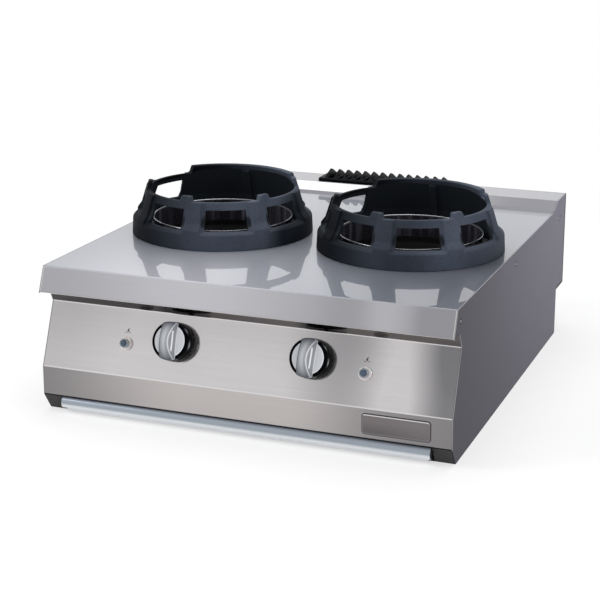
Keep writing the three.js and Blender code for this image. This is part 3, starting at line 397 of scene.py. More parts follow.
def worktopSteel(b):
    # painted light and shade: a light patch left of the middle on the top, painted shade to the right and
    # beside the right ring; broad upright columns of painted light on the fascia, with painted highlights
    # along its foot and ends; the rear slope is painted white at the left and grey at the right, with a
    # painted darker foot
    w = worktopLook
    x, y, z = b.axis("X"), b.axis("Y"), b.axis("Z")
    grain = b.noise(1, 3, 0.6, w["grain"])
    lit = b.bell(x, *w["patch"]) * b.fade(y, *w["patchDepth"])
    colour = b.blend(lit, "#838892", "#babac2")
    # painted shade on the top, to the right and beside the right ring
    dim = b.fade(x, *w["dim"]) * b.fade(y, *w["dimDepth"])
    dim = dim + b.fade(x, *w["ringShade"]) * b.bell(y, *w["ringShadeDepth"])
    colour = b.blend(dim, colour, "#4a4a52")
    # columns of painted light and shade on the fascia
    lit = w["fasciaBase"] + 0.68 * b.bell(x, *w["fasciaMain"]) + 0.4 * b.bell(x, *w["fasciaBright"])
    lit = lit - b.fade(x, *w["fasciaEnd"]) - 0.15 * b.bell(x, *w["fasciaDark"])
    fascia = b.blend(lit, "#86858a", "#b4b3b8")
    # painted highlights along the fascia's foot and its ends
    edges = b.bell(z, *w["footHighlight"]) + b.bell(abs(x), *w["endHighlights"])
    fascia = b.blend(edges, fascia, "#c9c3bf")
    colour = b.blend(b.fade(z, *w["fold"]), colour, fascia)
    # the rear slope: painted light, white at the left and grey at the right, with a painted shade foot
    slope = b.blend(b.fade(x, *w["slopeAcross"]), "#f4f4f6", "#727177")
    slope = b.blend(b.fade(y, *w["slopeFoot"]), slope, "#6e6e75")
    flat = b.blend(b.fade(x, *w["flatAcross"]), "#898990", "#82838a")
    rear = b.blend(b.fade(y, *w["flatFrom"]), slope, flat)
    colour = b.blend(b.fade(y, *w["slopeFrom"]), colour, rear)
    colour = b.blend(b.fade(grain, 0.3, 0.7, 0, 0.1), colour, "#85868e")
    polish = {"Coat Weight": 1.0, "Coat Roughness": 0.012, "Coat IOR": 1.56}  # it mirrors the rings
    return {**sockets(colour, 0.32 + 0.07 * grain, b.bump(grain, 0.006), 0.35, 0.1), **polish}


def brushed(b, colour, rough):
    # fine streaks along X over a colour
    fine = b.noise(1, 2, 0.6, (9, 900, 900))
    broad = b.noise(1, 3, 0.5, (1.6, 90, 90))
    colour = b.blend(b.fade(broad, 0.3, 0.7, 0, 0.04), colour, "#8e8d90")
    colour = b.blend(b.fade(fine, 0.3, 0.75, 0, 0.06), colour, "#77767a")
    return colour, rough + 0.07 * fine, b.bump(fine, 0.006)


frontLook = {
    "base": 0.55, "leftEnd": (-0.4, -0.2, 0.12, 0.38), "darkColumn": (0.19, 0.13),
    "lightColumn": (0.28, 0.06), "rightEnd": (0.3, 0.385, 0.0, 1.0), "height": (0.1, 0.2, 0.12, -0.06),
    "lowFold": (0.0905, 0.0016), "highFold": (0.2062, 0.0014),
    "bandEnds": (0.08, 0.42, 1.0, 0.0), "bandDark": (0.23, 0.14), "slopeFrom": (0.0885, 0.0895),
    "recessAcross": (-0.2, 0.1, 0.15, 0.42), "overKnobs": (0.134, 0.05), "recessDark": (0.15, 0.06),
    "recessFrom": (0.2072, 0.2082),
    "badge": (0.298, 0.062), "badgeFlat": (0.057, 0.01325), "badgeCorner": 0.005,
    "badgeOutline": (0.0006, 0.0016),
}


def frontSteel(b):
    # painted light: upright columns of light and shade, a dark one and a light one at the right, a dark
    # right end, and more light lower down; painted highlights along the folds; the band is painted darker
    # at both ends; the recess under the lip is painted shade, darkest above the knobs; a painted shade
    # line round the badge
    f = frontLook
    x, z = b.axis("X"), b.axis("Z")
    lit = f["base"] + b.fade(x, *f["leftEnd"]) - 0.55 * b.bell(x, *f["darkColumn"])
    lit = lit + 0.2 * b.bell(x, *f["lightColumn"]) - b.fade(x, *f["rightEnd"]) + b.fade(z, *f["height"])
    slope = b.blend(lit, "#777678", "#cbc8c9")
    # painted highlights along the two folds
    folds = b.bell(z, *f["lowFold"]) + b.bell(z, *f["highFold"])
    slope = b.blend(folds, slope, "#dddadb")
    lit = b.fade(abs(x + 0.01), *f["bandEnds"]) - 0.22 * b.bell(x, *f["bandDark"])
    band = b.blend(lit, "#827f80", "#bab5b3")
    colour = b.blend(b.fade(z, *f["slopeFrom"]), band, slope)
    # the recess under the lip: painted shade, darkest above the knobs
    lit = b.fade(x, *f["recessAcross"]) - 0.4 * b.bell(abs(x), *f["overKnobs"])
    recess = b.blend(lit - 0.3 * b.bell(x, *f["recessDark"]), "#2c2a2b", "#8f8986")
    colour = b.blend(b.fade(z, *f["recessFrom"]), colour, recess)
    # distance from the badge's outline: how far a point is past the flat part of each side
    (badgeX, badgeZ), (flatX, flatZ) = f["badge"], f["badgeFlat"]
    aside, above = (abs(x - badgeX) - flatX).most(0), (abs(z - badgeZ) - flatZ).most(0)
    away = (aside * aside + above * above) ** 0.5 - f["badgeCorner"]
    # painted shade along the badge's edge
    colour = b.blend(b.bell(away, *f["badgeOutline"]), colour, "#38363a")
    colour, rough, normal = brushed(b, colour, 0.07)
    return sockets(colour, rough, normal, 0.9, 0.2)


sideLook = {
    "light": (-0.6, 0.55), "lightHeight": (0.05, 0.3, 0.72, 1.0),
    "edgeHighlight": (0.39975, 0.39995, 0.85, 0.0), "cutEdgeFrom": (0.03, 0.036),
    "rearSeam": (0.4405, 0.443), "overhang": (0.384, 0.386), "overhangFoot": (0.1035, 0.1045, 1.0, 0.0),
    "lipSeam": (0.2368, 0.0018), "lipFront": (-0.4455, -0.4435), "lipBack": (-0.424, -0.421, 1.0, 0.0),
    "screws": (-0.412, -0.013, 0.392), "screwHeight": 0.257, "screwRing": (0.005, 0.003),
}


def sideSteel(b):
    # painted light: lighter to the back and towards the top, with a painted highlight on the sheet's
    # edges;
    # dark where it meets the rear panel and the lip's return, dark joints partly painted shade, painted
    # shade under the rear overhang, and a dark ring round each screw
    s = sideLook
    y, z = b.axis("Y"), b.axis("Z")
    fine = b.noise(1, 2, 0.6, (900, 9, 900))
    # painted light: lighter to the back and towards the top
    lit = b.fade(y, *s["light"]) * b.fade(z, *s["lightHeight"])
    colour = b.blend(lit, "#393840", "#706e7b")
    colour = b.blend(b.fade(fine, 0.3, 0.7, 0, 0.1), colour, "#4c4a51")
    # a painted highlight on the sheet's edge faces
    edge = b.fade(abs(b.axis("X")), *s["edgeHighlight"])
    colour = b.blend(edge * b.fade(z, *s["cutEdgeFrom"]), colour, "#a5a4a9")
    # dark seams with painted shade, and painted shade under the rear overhang
    seamsAndShade = b.fade(y, *s["rearSeam"]) + b.fade(y, *s["overhang"]) * b.fade(z, *s["overhangFoot"])
    seamsAndShade = seamsAndShade + b.bell(z, *s["lipSeam"]) * b.fade(y, *s["lipFront"]) * b.fade(y, *s["lipBack"])
    colour = b.blend(seamsAndShade, colour, "#17171a")
    for setBack in s["screws"]:
        along, up = y - setBack, z - s["screwHeight"]
        away = (along * along + up * up) ** 0.5
        colour = b.blend(b.bell(away, *s["screwRing"]), colour, "#131216")
    return sockets(colour, 0.45 + 0.1 * fine, b.bump(fine, 0.01), 0.1, 0.1)


def collarSteel(b):
    # a bright rolled rim over darker walls, in clouds
    grain = b.noise(1, 3, 0.5, (200, 200, 900))
    wallClouds = b.fade(b.noise(1, 2, 0.5, (60, 60, 3)), 0.4, 0.7)
    walls = b.blend(wallClouds, "#3c3a42", "#75727d")
    colour = b.blend(b.fade(b.axis("Z"), 0.3108, 0.3118), walls, "#8c8f95")
    return sockets(colour, 0.05 + 0.04 * grain, b.bump(grain, 0.002), 0.7)


trayLook = {
    "lipMiddle": (0.017, 0.023), "lipUpper": (0.026, 0.0325), "lipTop": (0.0317, 0.0325),
    "lipEnds": (0.3603, 0.3615), "panFrom": (-0.4368, -0.4362),
}


def traySteel(b):
    # the rolled lip has a painted reflection, grey-blue above its middle and near white below, with
    # painted shade on its top edge and ends; the pan is plain
    t = trayLook
    z = b.axis("Z")
    # painted reflection on the lip, banded by height
    colour = b.blend(b.fade(z, *t["lipMiddle"]), "#e6e9ec", "#98a0aa")
    colour = b.blend(b.fade(z, *t["lipUpper"]), colour, "#767c86")
    # painted shade on the lip's top edge and its ends
    edges = b.fade(z, *t["lipTop"]) + b.fade(abs(b.axis("X")), *t["lipEnds"])
    colour = b.blend(edges, colour, "#28282c")
    pan = b.wear("#7d8085", 0.12, 9)
    colour = b.blend(b.fade(b.axis("Y"), *t["panFrom"]), colour, pan)
    colour, rough, normal = brushed(b, colour, 0.25)
    return sockets(colour, rough, normal, 0.4, 0.2)


badgeLook = {
    "fieldHeight": (0.044, 0.074), "fieldAcross": (0.25, 0.36, 0.0, 0.4), "rim": (-0.4473, 0.0002),
    "rimTop": (0.0765, 0.0785), "rimRest": (0.075, 0.077, 0.7, 0.0), "outline": (-0.4465, -0.4462),
}


def badgeSteel(b):
    # satin field with painted light, darker towards the foot and lighter to the right, a thin painted
    # highlight along the top, the rest of the rim grey, and a painted shade outline
    p = badgeLook
    x, y, z = b.axis("X"), b.axis("Y"), b.axis("Z")
    # painted light on the field: darker towards the foot, lighter to the right
    field = b.blend(b.fade(z, *p["fieldHeight"]), "#625e60", "#767070")
    field = b.blend(b.fade(x, *p["fieldAcross"]), field, "#7b7778")
    colour, rough, normal = brushed(b, field, 0.3)
    rim = b.bell(y, *p["rim"])
    # a painted highlight along the top of the rim
    colour = b.blend(rim * b.fade(z, *p["rimTop"]), colour, "#d6d5d7")
    colour = b.blend(rim * b.fade(z, *p["rimRest"]), colour, "#7c797b")
    # painted shade round the plate's sides
    colour = b.blend(b.fade(y, *p["outline"]), colour, "#2b2a2d")
    return sockets(colour, rough, normal, 0.6, 0.2)


def galvanised(b):
    # zinc crystals: flat cells of slightly different grey; the sheet's cut ends and the toe are dark,
    # painted shade beside the side panels and under the tray
    cells = b.node("TexVoronoi", {"feature": "F1"}, {"Vector": b.place(), "Scale": 95}, out="Color")
    grey = b.node("SeparateXYZ", {}, [cells])
    colour = b.blend(b.fade(grey, 0.0, 1.0), "#55524f", "#6a6866")
    colour = b.blend(b.fade(b.noise(7, 4), 0.35, 0.7, 0, 0.35), colour, "#3d3a38")
    # painted shade on the sheet's ends and on the toe under the tray
    colour = b.blend(b.fade(abs(b.axis("X")), 0.3972, 0.3978), colour, "#18181b")
    colour = b.blend(b.fade(b.axis("Y"), -0.41, -0.38, 0.8, 0.0), colour, "#29282a")
    return sockets(colour, 0.42 + 0.15 * grey, b.bump(b.noise(420, 3), 0.03), 0.4, 0.2)


ironLook = {
    "ringX": 0.199, "ringY": -0.054, "wall": (0.32, 0.376, 0.172, 0.1485),
    "rimFoot": (0.06, 0.12, 0.366, 0.378),
    "leftRise": (-0.11, 0.1, 0.0, 0.92), "leftFall": (0.138, 0.166, 1.0, 0.0),
    "rightRise": (-0.13, 0.0, 0.0, 0.45), "rightPeak": (0.115, 0.075),
    "leftShade": (-0.14, -0.015, 0.9, 0.0), "rib": (0.0, 0.009), "ribFrom": (0.05, 0.08),
}


def castIron(b):
    # blue-grey outside with painted light: lightest right of each ring's front and painted shade at its
    # left;
    # sooty below the rim where a point is nearer the ring's axis than the wall's middle, whose radius
    # falls upward; the back rib inside is a little lighter, a painted highlight
    i = ironLook
    across, y, z = b.axis("X"), b.axis("Y") - i["ringY"], b.axis("Z")
    x = abs(across) - i["ringX"]
    radius = (x * x + y * y) ** 0.5
    inside = b.fade(b.fade(z, *i["wall"]) - radius, -0.001, 0.002)
    inside = inside * b.fade(z - b.fade(y, *i["rimFoot"]), -0.001, 0.001, 1.0, 0.0)
    sand, pits = b.noise(900, 4, 0.65), b.noise(260, 3, 0.6)
    right = b.fade(across, -0.01, 0.01)
    aside = across - i["ringX"] * (2 * right - 1)
    # painted light across each ring's front, and painted shade at its left
    lit = (1 - right) * b.fade(aside, *i["leftRise"]) * b.fade(aside, *i["leftFall"])
    lit = lit + right * (b.fade(aside, *i["rightRise"]) + 0.6 * b.bell(aside, *i["rightPeak"]))
    face = b.blend(lit, "#181c22", "#4d5461")
    face = b.blend(b.fade(aside, *i["leftShade"]), face, "#040507")
    face = b.blend(b.fade(b.noise(18, 4), 0.3, 0.7, 0, 0.25), face, "#1e242b")
    face = b.blend(b.fade(pits, 0.55, 0.75, 0, 0.45), face, "#161b20")
    # the back rib: a painted highlight
    rib = b.bell(x, *i["rib"]) * b.fade(y, *i["ribFrom"])
    soot = b.blend(rib, "#1f2328", "#22262c")
    colour = b.blend(inside, face, soot)
    return sockets(colour, 0.55 + 0.2 * sand, b.bump(sand, 0.05, b.bump(pits, 0.12)), 0.0, 0.06)


def enamel(b):
    # black, a little greyer on the fins' crests
    ripple = b.noise(160, 2, 0.5)
    crest = b.fade(b.axis("Z"), 0.309, 0.323)
    colour = b.blend(crest, b.wear("#07080a", 0.25, 12), "#12151a")
    return sockets(colour, 0.35 + 0.1 * ripple, b.bump(ripple, 0.03), 0.0, 0.05)


def burntEnamel(b):
    # black with clouds of soot
    soot = b.noise(30, 4, 0.6)
    colour = b.blend(b.fade(soot, 0.35, 0.7), "#08090b", "#141414")
    return sockets(colour, 0.35 + 0.3 * soot, b.bump(b.noise(200, 3), 0.05), 0.0, 0.05)


def blackPlastic(b):
    # near black; the tone marks where the moulding catches the light
    grain = b.noise(700, 2)
    colour = b.blend(b.tone(), b.wear("#050608", 0.3, 30), "#c4c9d0")
    return sockets(colour, 0.12 + 0.05 * grain, b.bump(grain, 0.004), 0.0, 0.012)


def silverFace(b):
    # the tone runs from dark grey to near white: painted light and shade on the face
    grain = b.noise(1, 3, 0.6, (1500, 60, 1500))
    colour = b.blend(b.tone(), "#3c4048", "#f4f6fa")
    colour = b.blend(b.fade(grain, 0.3, 0.7, 0, 0.06), colour, "#80848b")
    return sockets(colour, 0.4 + 0.1 * grain, b.bump(grain, 0.006), 0.2, 0.1)


def clearPlastic(b):
    # milky at the collar, blue-grey where the nose stands out of the panel
    depth = b.noise(120, 3)
    colour = b.blend(b.fade(depth, 0.3, 0.7), "#c9c3c1", "#e6e2e1")
    _, topY, topZ = (slopeTop * mm).tolist()
    _, outY, outZ = outSlope.tolist()
    out = (b.axis("Y") - topY) * outY + (b.axis("Z") - topZ) * outZ
    colour = b.blend(b.fade(out, 0.0045, 0.0065), colour, "#8d959d")
    clear = {"Coat Weight": 0.3, "Subsurface Weight": 0.3, "Subsurface Scale": 0.004}
    return {**sockets(colour, 0.16 + 0.08 * depth, b.bump(depth, 0.01)), **clear}


def screwSteel(b):
    # painted light: a painted highlight in the middle of the head, painted shade in the cross and at its
    # edge
    grain = b.noise(900, 2)
    colour = b.blend(b.tone(), "#2a2a2e", "#ffffff")
    return sockets(colour, 0.3 + 0.1 * grain, b.bump(grain, 0.003))


def burntBrass(b):
    # heat colours in clouds
    heat = b.noise(45, 4)
    colour = b.blend(b.fade(heat, 0.3, 0.7), "#8a6b35", "#5b4630")
    return sockets(colour, 0.38 + 0.2 * heat, b.bump(b.noise(500, 3), 0.03), 0.8)


def indexSteel(b):
    # near white
    return sockets(b.wear("#f0f0f3", 0.05, 80), 0.25, None, 0.2)


def printInk(b):
    # dark grey, a little uneven
    return sockets(b.wear("#39383a", 0.15, 200), 0.5, None, 0.0, 0.1)


# plain finishes: a clouded colour over a fine grain
plain = {
    # colour, clouds, cloud scale, grain scale, detail, roughness, its spread, bump, metal, specular
    "bluePlastic": ("#4a5666", 0.1, 60, 400, 2, 0.3, 0.1, 0.01, 0.0, 0.2),
    "brass": ("#b08d45", 0.18, 40, 500, 3, 0.28, 0.15, 0.01, 0.9, 0.5),
    "copper": ("#b0714a", 0.18, 40, 500, 3, 0.28, 0.15, 0.01, 0.9, 0.5),
    "ceramic": ("#e6e2d8", 0.05, 60, 300, 3, 0.35, 0.1, 0.01, 0.0, 0.5),
    "leadJacket": ("#2a2a2c", 0.15, 60, 600, 3, 0.6, 0.1, 0.01, 0.0, 0.5),
    "paintedPipe": ("#77787a", 0.1, 25, 220, 3, 0.45, 0.1, 0.04, 0.0, 0.5),
}


def plainFinish(b, colour, clouds, cloudScale, grainScale, detail, rough, spread, depth, metal, specular):
    grain = b.noise(grainScale, detail)
    base = b.wear(colour, clouds, cloudScale)
    return sockets(base, rough + spread * grain, b.bump(grain, depth), metal, specular)


finishes = {make.__name__: finishOf(make.__name__, make) for make in (
    worktopSteel, frontSteel, sideSteel, collarSteel, traySteel, badgeSteel, galvanised, castIron, enamel,
    burntEnamel, blackPlastic, silverFace, clearPlastic, screwSteel, burntBrass, indexSteel, printInk,
)}
for name, values in plain.items():
    finishes[name] = finishOf(name, lambda b, values=values: plainFinish(b, *values))
print("finishes made")


# Worktop: one sheet from the lip's return over the top to the rear flange

worktop = {
    "line": [(-413.8, 233.5), (-450, 233.5), (-430, 282), (318, 282), (368, 300), (448.2, 300),
             (448.2, 280)],
    "thickness": 1.5,
    "bend": 2.0,
    "half": 398.2,
    "wellRadius": 140.3,
    "wells": [(-199, -54), (199, -54)],
    "wellCut": (230, 310),
    "flueCut": [(-139.5, 378, 290), (139.5, 438.2, 310)],
    "rearStrip": [(446.7, 298.5), (450, 298.5), (450, 300), (446.7, 300)],
    "skirt": ((-422, 248), (440.2, 280.6)),
    "ease": 0.3,
}


def makeWorktop():
    w = worktop
    half = w["half"]
    sheet = alongX(folded(w["line"], w["thickness"], w["bend"]), [-half, half])
    piece = newPiece("worktop_sheet", [sheet], "worktopSteel")
    r, (low, high) = w["wellRadius"], w["wellCut"]
    well = [(0, low), (r, low), (r, high), (0, high)]
    wells = [spun(well, 160, (x, y, 0), solid=True) for x, y in w["wells"]]
    carved(piece, *wells, block(*w["flueCut"]))
    (y0, z0), (y1, z1) = w["skirt"]
    skirts = [block((s * half, y0, z0), (s * (half - w["thickness"]), y1, z1)) for s in (-1, 1)]
    strip = alongX(w["rearStrip"], [-half, half])
    edges = newPiece("worktop_edges", [*skirts, strip], "worktopSteel")
    fit(eased(edges, w["ease"]), "root", "worktop_steel")
    eased(piece, w["ease"], angle=50)
    fit(piece, "root", "worktop_steel", "worktop")


makeWorktop()
print("worktop made")


# Control panel: one sheet with the band, the slope and the recess under the lip

controls = {
    "line": [(-430.5, 34), (-445.5, 34), (-445.5, 90), (-399.5, 206.5), (-413.5, 233.5), (-413.5, 247.7)],
    "thickness": 1.5,
    "bend": 1.6,
    "half": 398.2,
    "knobs": 134,  # to each side of the middle
    "knobDrop": 51,  # down the slope
    "knobHole": 6,  # radius
    "piezos": 233.5,
    "piezoDrop": 65,
    "piezoHole": 9.3,
    "cut": 8,  # how far a hole's cutter reaches to each side of the sheet
    "ease": 0.3,
}


def makeControlPanel():
    c = controls
    sheet = alongX(folded(c["line"], c["thickness"], c["bend"]), [-c["half"], c["half"]])
    piece = newPiece("control_panel_sheet", [sheet], "frontSteel")
    holes = []
    for kind in ("knob", "piezo"):
        r, d = c[kind + "Hole"], c["cut"]
        plug = spun([(0, -d), (r, -d), (r, d), (0, d)], 48, solid=True)
        holes += [onPanel(plug, s * c[kind + "s"], c[kind + "Drop"]) for s in (-1, 1)]
    carved(piece, *holes)
    eased(piece, c["ease"], angle=50)
    fit(piece, "root", "front_steel", "control_panel")


makeControlPanel()
print("control panel made")


# Badge: a bare plate with a raised rim

badge = {
    "x": 298, "z": 62, "front": -447.3, "back": -445.8, "width": 124, "height": 36.5, "corner": 5,
    # the outline's inset and its depth behind the front: chamfer, rim, step and field
    "rim": [(0.0, 0.5), (0.5, 0.12), (1.0, 0.0), (1.9, 0.0), (2.4, 0.1), (2.9, 0.55)],
}


def makeBadge():
    g = badge
    levels = [(0.0, g["back"])] + [(inset, g["front"] + depth) for inset, depth in g["rim"]]
    loops = []
    for inset, y in levels:
        a, c = g["width"] / 2 - inset, g["height"] / 2 - inset
        line = rounded([(-a, -c), (a, -c), (a, c), (-a, c)], g["corner"] - inset * 0.8, 8)
        loops.append(np.stack([line[:, 0] + g["x"], np.full(len(line), y), line[:, 1] + g["z"]], 1))
    piece = newPiece("badge_bare_plate", [skin(np.array(loops))], "badgeSteel")
    fit(piece, "root", "badge_steel", "badge_plate")


makeBadge()
print("badge made")


# Wok rings: castings with six windows, lugs on the rim and a raised back

ring = {
    # band and shoulder are the height and radius of their tops, foot the inner radii up to the band's
    "radius": 183, "band": (38, 181), "shoulder": (50, 172), "cone": 0.318, "foot": (168, 165), "wall": 14,
    "rim": 89.5, "lug": 99.5, "outerLug": 105, "back": 105, "backFrom": 128, "backTo": 226, "ramp": 1.8,
    "lugs": [-67.5, -7.5, 52.5, 112.5], "frontLugs": 60, "lugHalf": 3.9,
    "windows": [-112.5, -67.5, -22.5, 22.5, 67.5, 112.5], "windowHalf": 14.4, "window": (36, 75),
    "recessHalf": 16.9, "recess": 6.2, "recessFrom": (31, 5), "overlap": 3,
    "rib": (15, 4), "ribFrom": 2, "ribTo": 92, "perDegree": 2.5, "levels": 22, "grain": 1.25,
    "sharp": 38,
    "places": {"left": (-199, 3.5), "right": (199, -0.5)}, "y": -54, "z": 282.3,
}


def ease(x):
    # 0 below 0, 1 above 1, and a smooth step between
    x = np.clip(x, 0, 1)
    return x * x * (3 - 2 * x)


def ringRim(a):
    # rim height at an angle in degrees from the front: the plain rim, and the highest of the lugs and
    # the raised back, whose ends rise over the ramp
    g = ring
    rise = np.zeros_like(a)
    for middle in g["lugs"]:
        away = np.abs((a - middle + 180) % 360 - 180)
        high = g["lug"] if abs(middle) < g["frontLugs"] else g["outerLug"]
        rise = np.maximum(rise, (high - g["rim"]) * ease((g["lugHalf"] + g["ramp"] - away) / g["ramp"]))
    turned = a % 360
    inside = np.minimum(turned - g["backFrom"], g["backTo"] - turned)
    rise = np.maximum(rise, (g["back"] - g["rim"]) * ease(inside / g["ramp"] + 0.5))
    return g["rim"] + rise


def ringRecess(a):
    # 1 inside a window's panel, 0 on the pillars and the back
    away = np.min([np.abs((a - m + 180) % 360 - 180) for m in ring["windows"]], axis=0)
    return ease((ring["recessHalf"] - away) / 0.5 + 0.5)


def ringOuter(a, h):
    # foot band, sloping shoulder, then a cone; the window panels lie back from it
    g = ring
    (bandTop, bandR), (shoulderTop, shoulderR) = g["band"], g["shoulder"]
    low = g["radius"] - (g["radius"] - bandR) * h / bandTop
    slope = bandR - (bandR - shoulderR) * (h - bandTop) / (shoulderTop - bandTop)
    cone = shoulderR - (h - shoulderTop) * g["cone"]
    plain = np.where(h < bandTop, low, np.where(h < shoulderTop, slope, cone))
    start, run = g["recessFrom"]
    return plain - g["recess"] * ringRecess(a) * ease((h - start) / run)


def ringInner(h):
    # a nearly upright foot as high as the band, then a cone to the rim
    g = ring
    (footR, neckR), neck = g["foot"], g["band"][0]
    top = g["shoulder"][1] - (g["rim"] - g["shoulder"][0]) * g["cone"] - g["wall"]
    foot = footR - (footR - neckR) * h / neck
    return np.where(h < neck, foot, neckR - (neckR - top) * (h - neck) / (g["rim"] - neck))


def ringBlock(start, end, low, high, loop=False):
    # the wall between two angles and two heights (numbers, or functions of the angle)
    count = max(int((end - start) * ring["perDegree"]), 6)
    a = np.linspace(start, end, count, endpoint=not loop)[:, None]
    h0 = low(a) if callable(low) else low + 0 * a
    h1 = high(a) if callable(high) else high + 0 * a
    outH = h0 + (h1 - h0) * np.linspace(0, 1, ring["levels"])[None, :]
    inH = outH[:, ::-3]
    r = np.hstack([ringOuter(a, outH), ringInner(inH)])
    h = np.hstack([outH, inH])
    t = np.radians(a)
    return skin(np.stack([r * np.sin(t), -r * np.cos(t), h], -1), loop=loop)


def makeRing(side):
    g = ring
    bottom, top = g["window"]
    parts = [ringBlock(-180, 180, 0, bottom, True), ringBlock(-180, 180, top, ringRim, True)]
    middles, half = g["windows"], g["windowHalf"]
    for m, n in zip(middles, middles[1:] + [360 + middles[0]]):
        parts.append(ringBlock(m + half, n - half, bottom - g["overlap"], top + g["overlap"]))
    (width, depth), low, neck, high = g["rib"], g["ribFrom"], g["band"][0], g["ribTo"]
    heights = np.array([low, neck, high, high, neck, low], float)
    reach = ringInner(heights) + np.repeat([4, -depth], 3)
    parts.append(alongX(np.stack([reach, heights], 1), [-width / 2, width / 2]))
    x, turn = g["places"][side]
    parts = [(p @ spinAbout(turn) + [x, g["y"], g["z"]], f) for p, f in parts]
    piece = newPiece(f"wok_ring_casting_{side}", parts, "castIron")
    cast(piece, g["grain"], g["sharp"])
    fit(piece, f"wok_ring_{side}", "cast_iron", f"wok_ring_{side}")


for side in sides:
    makeRing(side)
print("wok rings cast")


# Collars, bowls and burner caps

burner = {
    "y": -54, "places": {"left": -199, "right": 199},
    "collar": [(140, 255), (140, 282.3), (151, 282.3), (151, 283.8), (140, 283.8), (140, 311.4),
               (141.3, 312.2), (141.6, 313.2), (140.9, 314), (139.6, 314), (138.5, 313), (138.5, 256.5),
               (133.5, 256.5), (133.5, 255)],
    "collarCorners": [0.4, 0.6, 0.5, 0.5, 0.8, 0.5, 0.4, 0.5, 0.5, 0.5, 0.5, 0.5, 0.4, 0.4],
    "bowl": [(138.2, 256.8), (138.2, 269), (137, 269), (137, 258), (131.7, 258), (88, 190), (88, 178),
             (89.2, 178), (89.2, 190), (132.9, 255), (132.9, 256.8)],
    "cap": [(20, 200.6), (64, 200.6), (64, 209.6), (55, 224.6), (29, 224.6), (20, 215.6)],
    "capCorners": [0.8, 1.2, 1.5, 2.5, 2.5, 1],
    "ports": 36, "portHeight": 216, "portHalf": 2.6, "portDepth": 2.6, "portsFrom": 50,
}


def makeBurner(side):
    g = burner
    place = (g["places"][side], g["y"], 0)
    rim = spun(rounded(g["collar"], g["collarCorners"], 3), 160, place)
    collar = newPiece(f"collar_polished_{side}", [rim], "collarSteel")
    fit(collar, "root", "collar_steel", f"burner_collar_{side}")
    dish = spun(rounded(g["bowl"], 0.5, 3), 128, place)
    bowl = newPiece(f"bowl_enamelled_{side}", [dish], "burntEnamel")
    fit(bowl, "root", "black_enamel", f"burner_bowl_{side}")
    # the cap's upper slope has a port every few degrees: its radius dips there
    outline = rounded(g["cap"], g["capCorners"], 5)
    a = around(g["ports"] * 10)
    r, z = outline[:, 0], outline[:, 1]
    band = np.exp(-(((z - g["portHeight"]) / g["portHalf"]) ** 2)) * (r > g["portsFrom"])
    reach = r - g["portDepth"] * band * np.clip(np.cos(g["ports"] * a) * 2 - 0.7, 0, 1)
    rows = np.stack([np.cos(a) * reach, np.sin(a) * reach, z + 0 * a], -1) + np.asarray(place, float)
    cap = newPiece(f"burner_crown_{side}", [skin(rows, loop=True)], "burntBrass", 45)
    fit(cap, f"burner_cap_{side}", "brass_cap", f"burner_cap_{side}")


for side in sides:
    makeBurner(side)
print("burners made")


# Knobs: black bodies, bright faces with an arched grip, and an index line on its facet

knob = {
    "body": [(4.35, 3.2), (35.2, 3.2), (36.5, 4.4), (36.4, 12.0), (36.0, 16.0), (35.7, 20.0), (35.4, 24.0),
             (35.0, 28.6), (33.8, 30.0), (30.2, 30.0), (30.0, 29.4), (30.0, 27.2), (4.35, 27.2)],
    "bodyCorners": [0.2, 0.8, 0.5, 2.0, 0, 0, 0, 1.0, 0.6, 0.3, 0.2, 0.2, 0.2],
    # soft spots of light on the wall: angle, height, half angle, half height, strength
    "glints": [(-6, 20, 9, 1.9, 0.8), (38, 24, 7, 2.6, 0.9), (-66, 22, 4, 2.2, 0.6)], "glintsFrom": 33,
    "face": 29.7, "seat": 27.5, "top": 30.2, "edge": 0.9, "flatTo": 27.9,
    "grip": (-15.6, 14.0), "reach": 35.2, "height": 10.5, "ridge": 0.7, "stations": 57,
    "index": (7.4, 19.0, 1.1), "indexRise": 0.35, "turn": {"left": 2.0, "right": -2.0},
}
facetSlope = knob["height"] / (knob["grip"][1] - knob["ridge"])


def knobBody():
    # the wall's tone is the strongest of the glints, each falling off as a bell both ways
    k = knob
    points, faces = spun(rounded(k["body"], k["bodyCorners"], 4), 144)
    x, y, height = points.T
    angle, glow = np.degrees(np.arctan2(y, x)), np.zeros(len(points))
    for at, up, wide, tall, strength in k["glints"]:
        off = ((angle - at) / wide) ** 2 + ((height - up) / tall) ** 2
        glow = np.maximum(glow, strength * np.exp(-off))
    return (points, faces), glow * (np.hypot(x, y) > k["glintsFrom"])


def knobDisc():
    # a flat disc of mid tone; its edge has a painted highlight at the right and is grey at the left
    k = knob
    r, low, high = k["face"], k["seat"], k["top"]
    line = [(0, low), (r, low), (r, high), (k["flatTo"], high), (0, high)]
    points, faces = spun(rounded(line, [0, 0.2, k["edge"], 0, 0], 5, closed=False), 128, solid=True)
    far = np.hypot(points[:, 0], points[:, 1]) / r
    return (points, faces), np.where(far > 0.96, 0.74 + 0.2 * np.sign(points[:, 0]), 0.57)


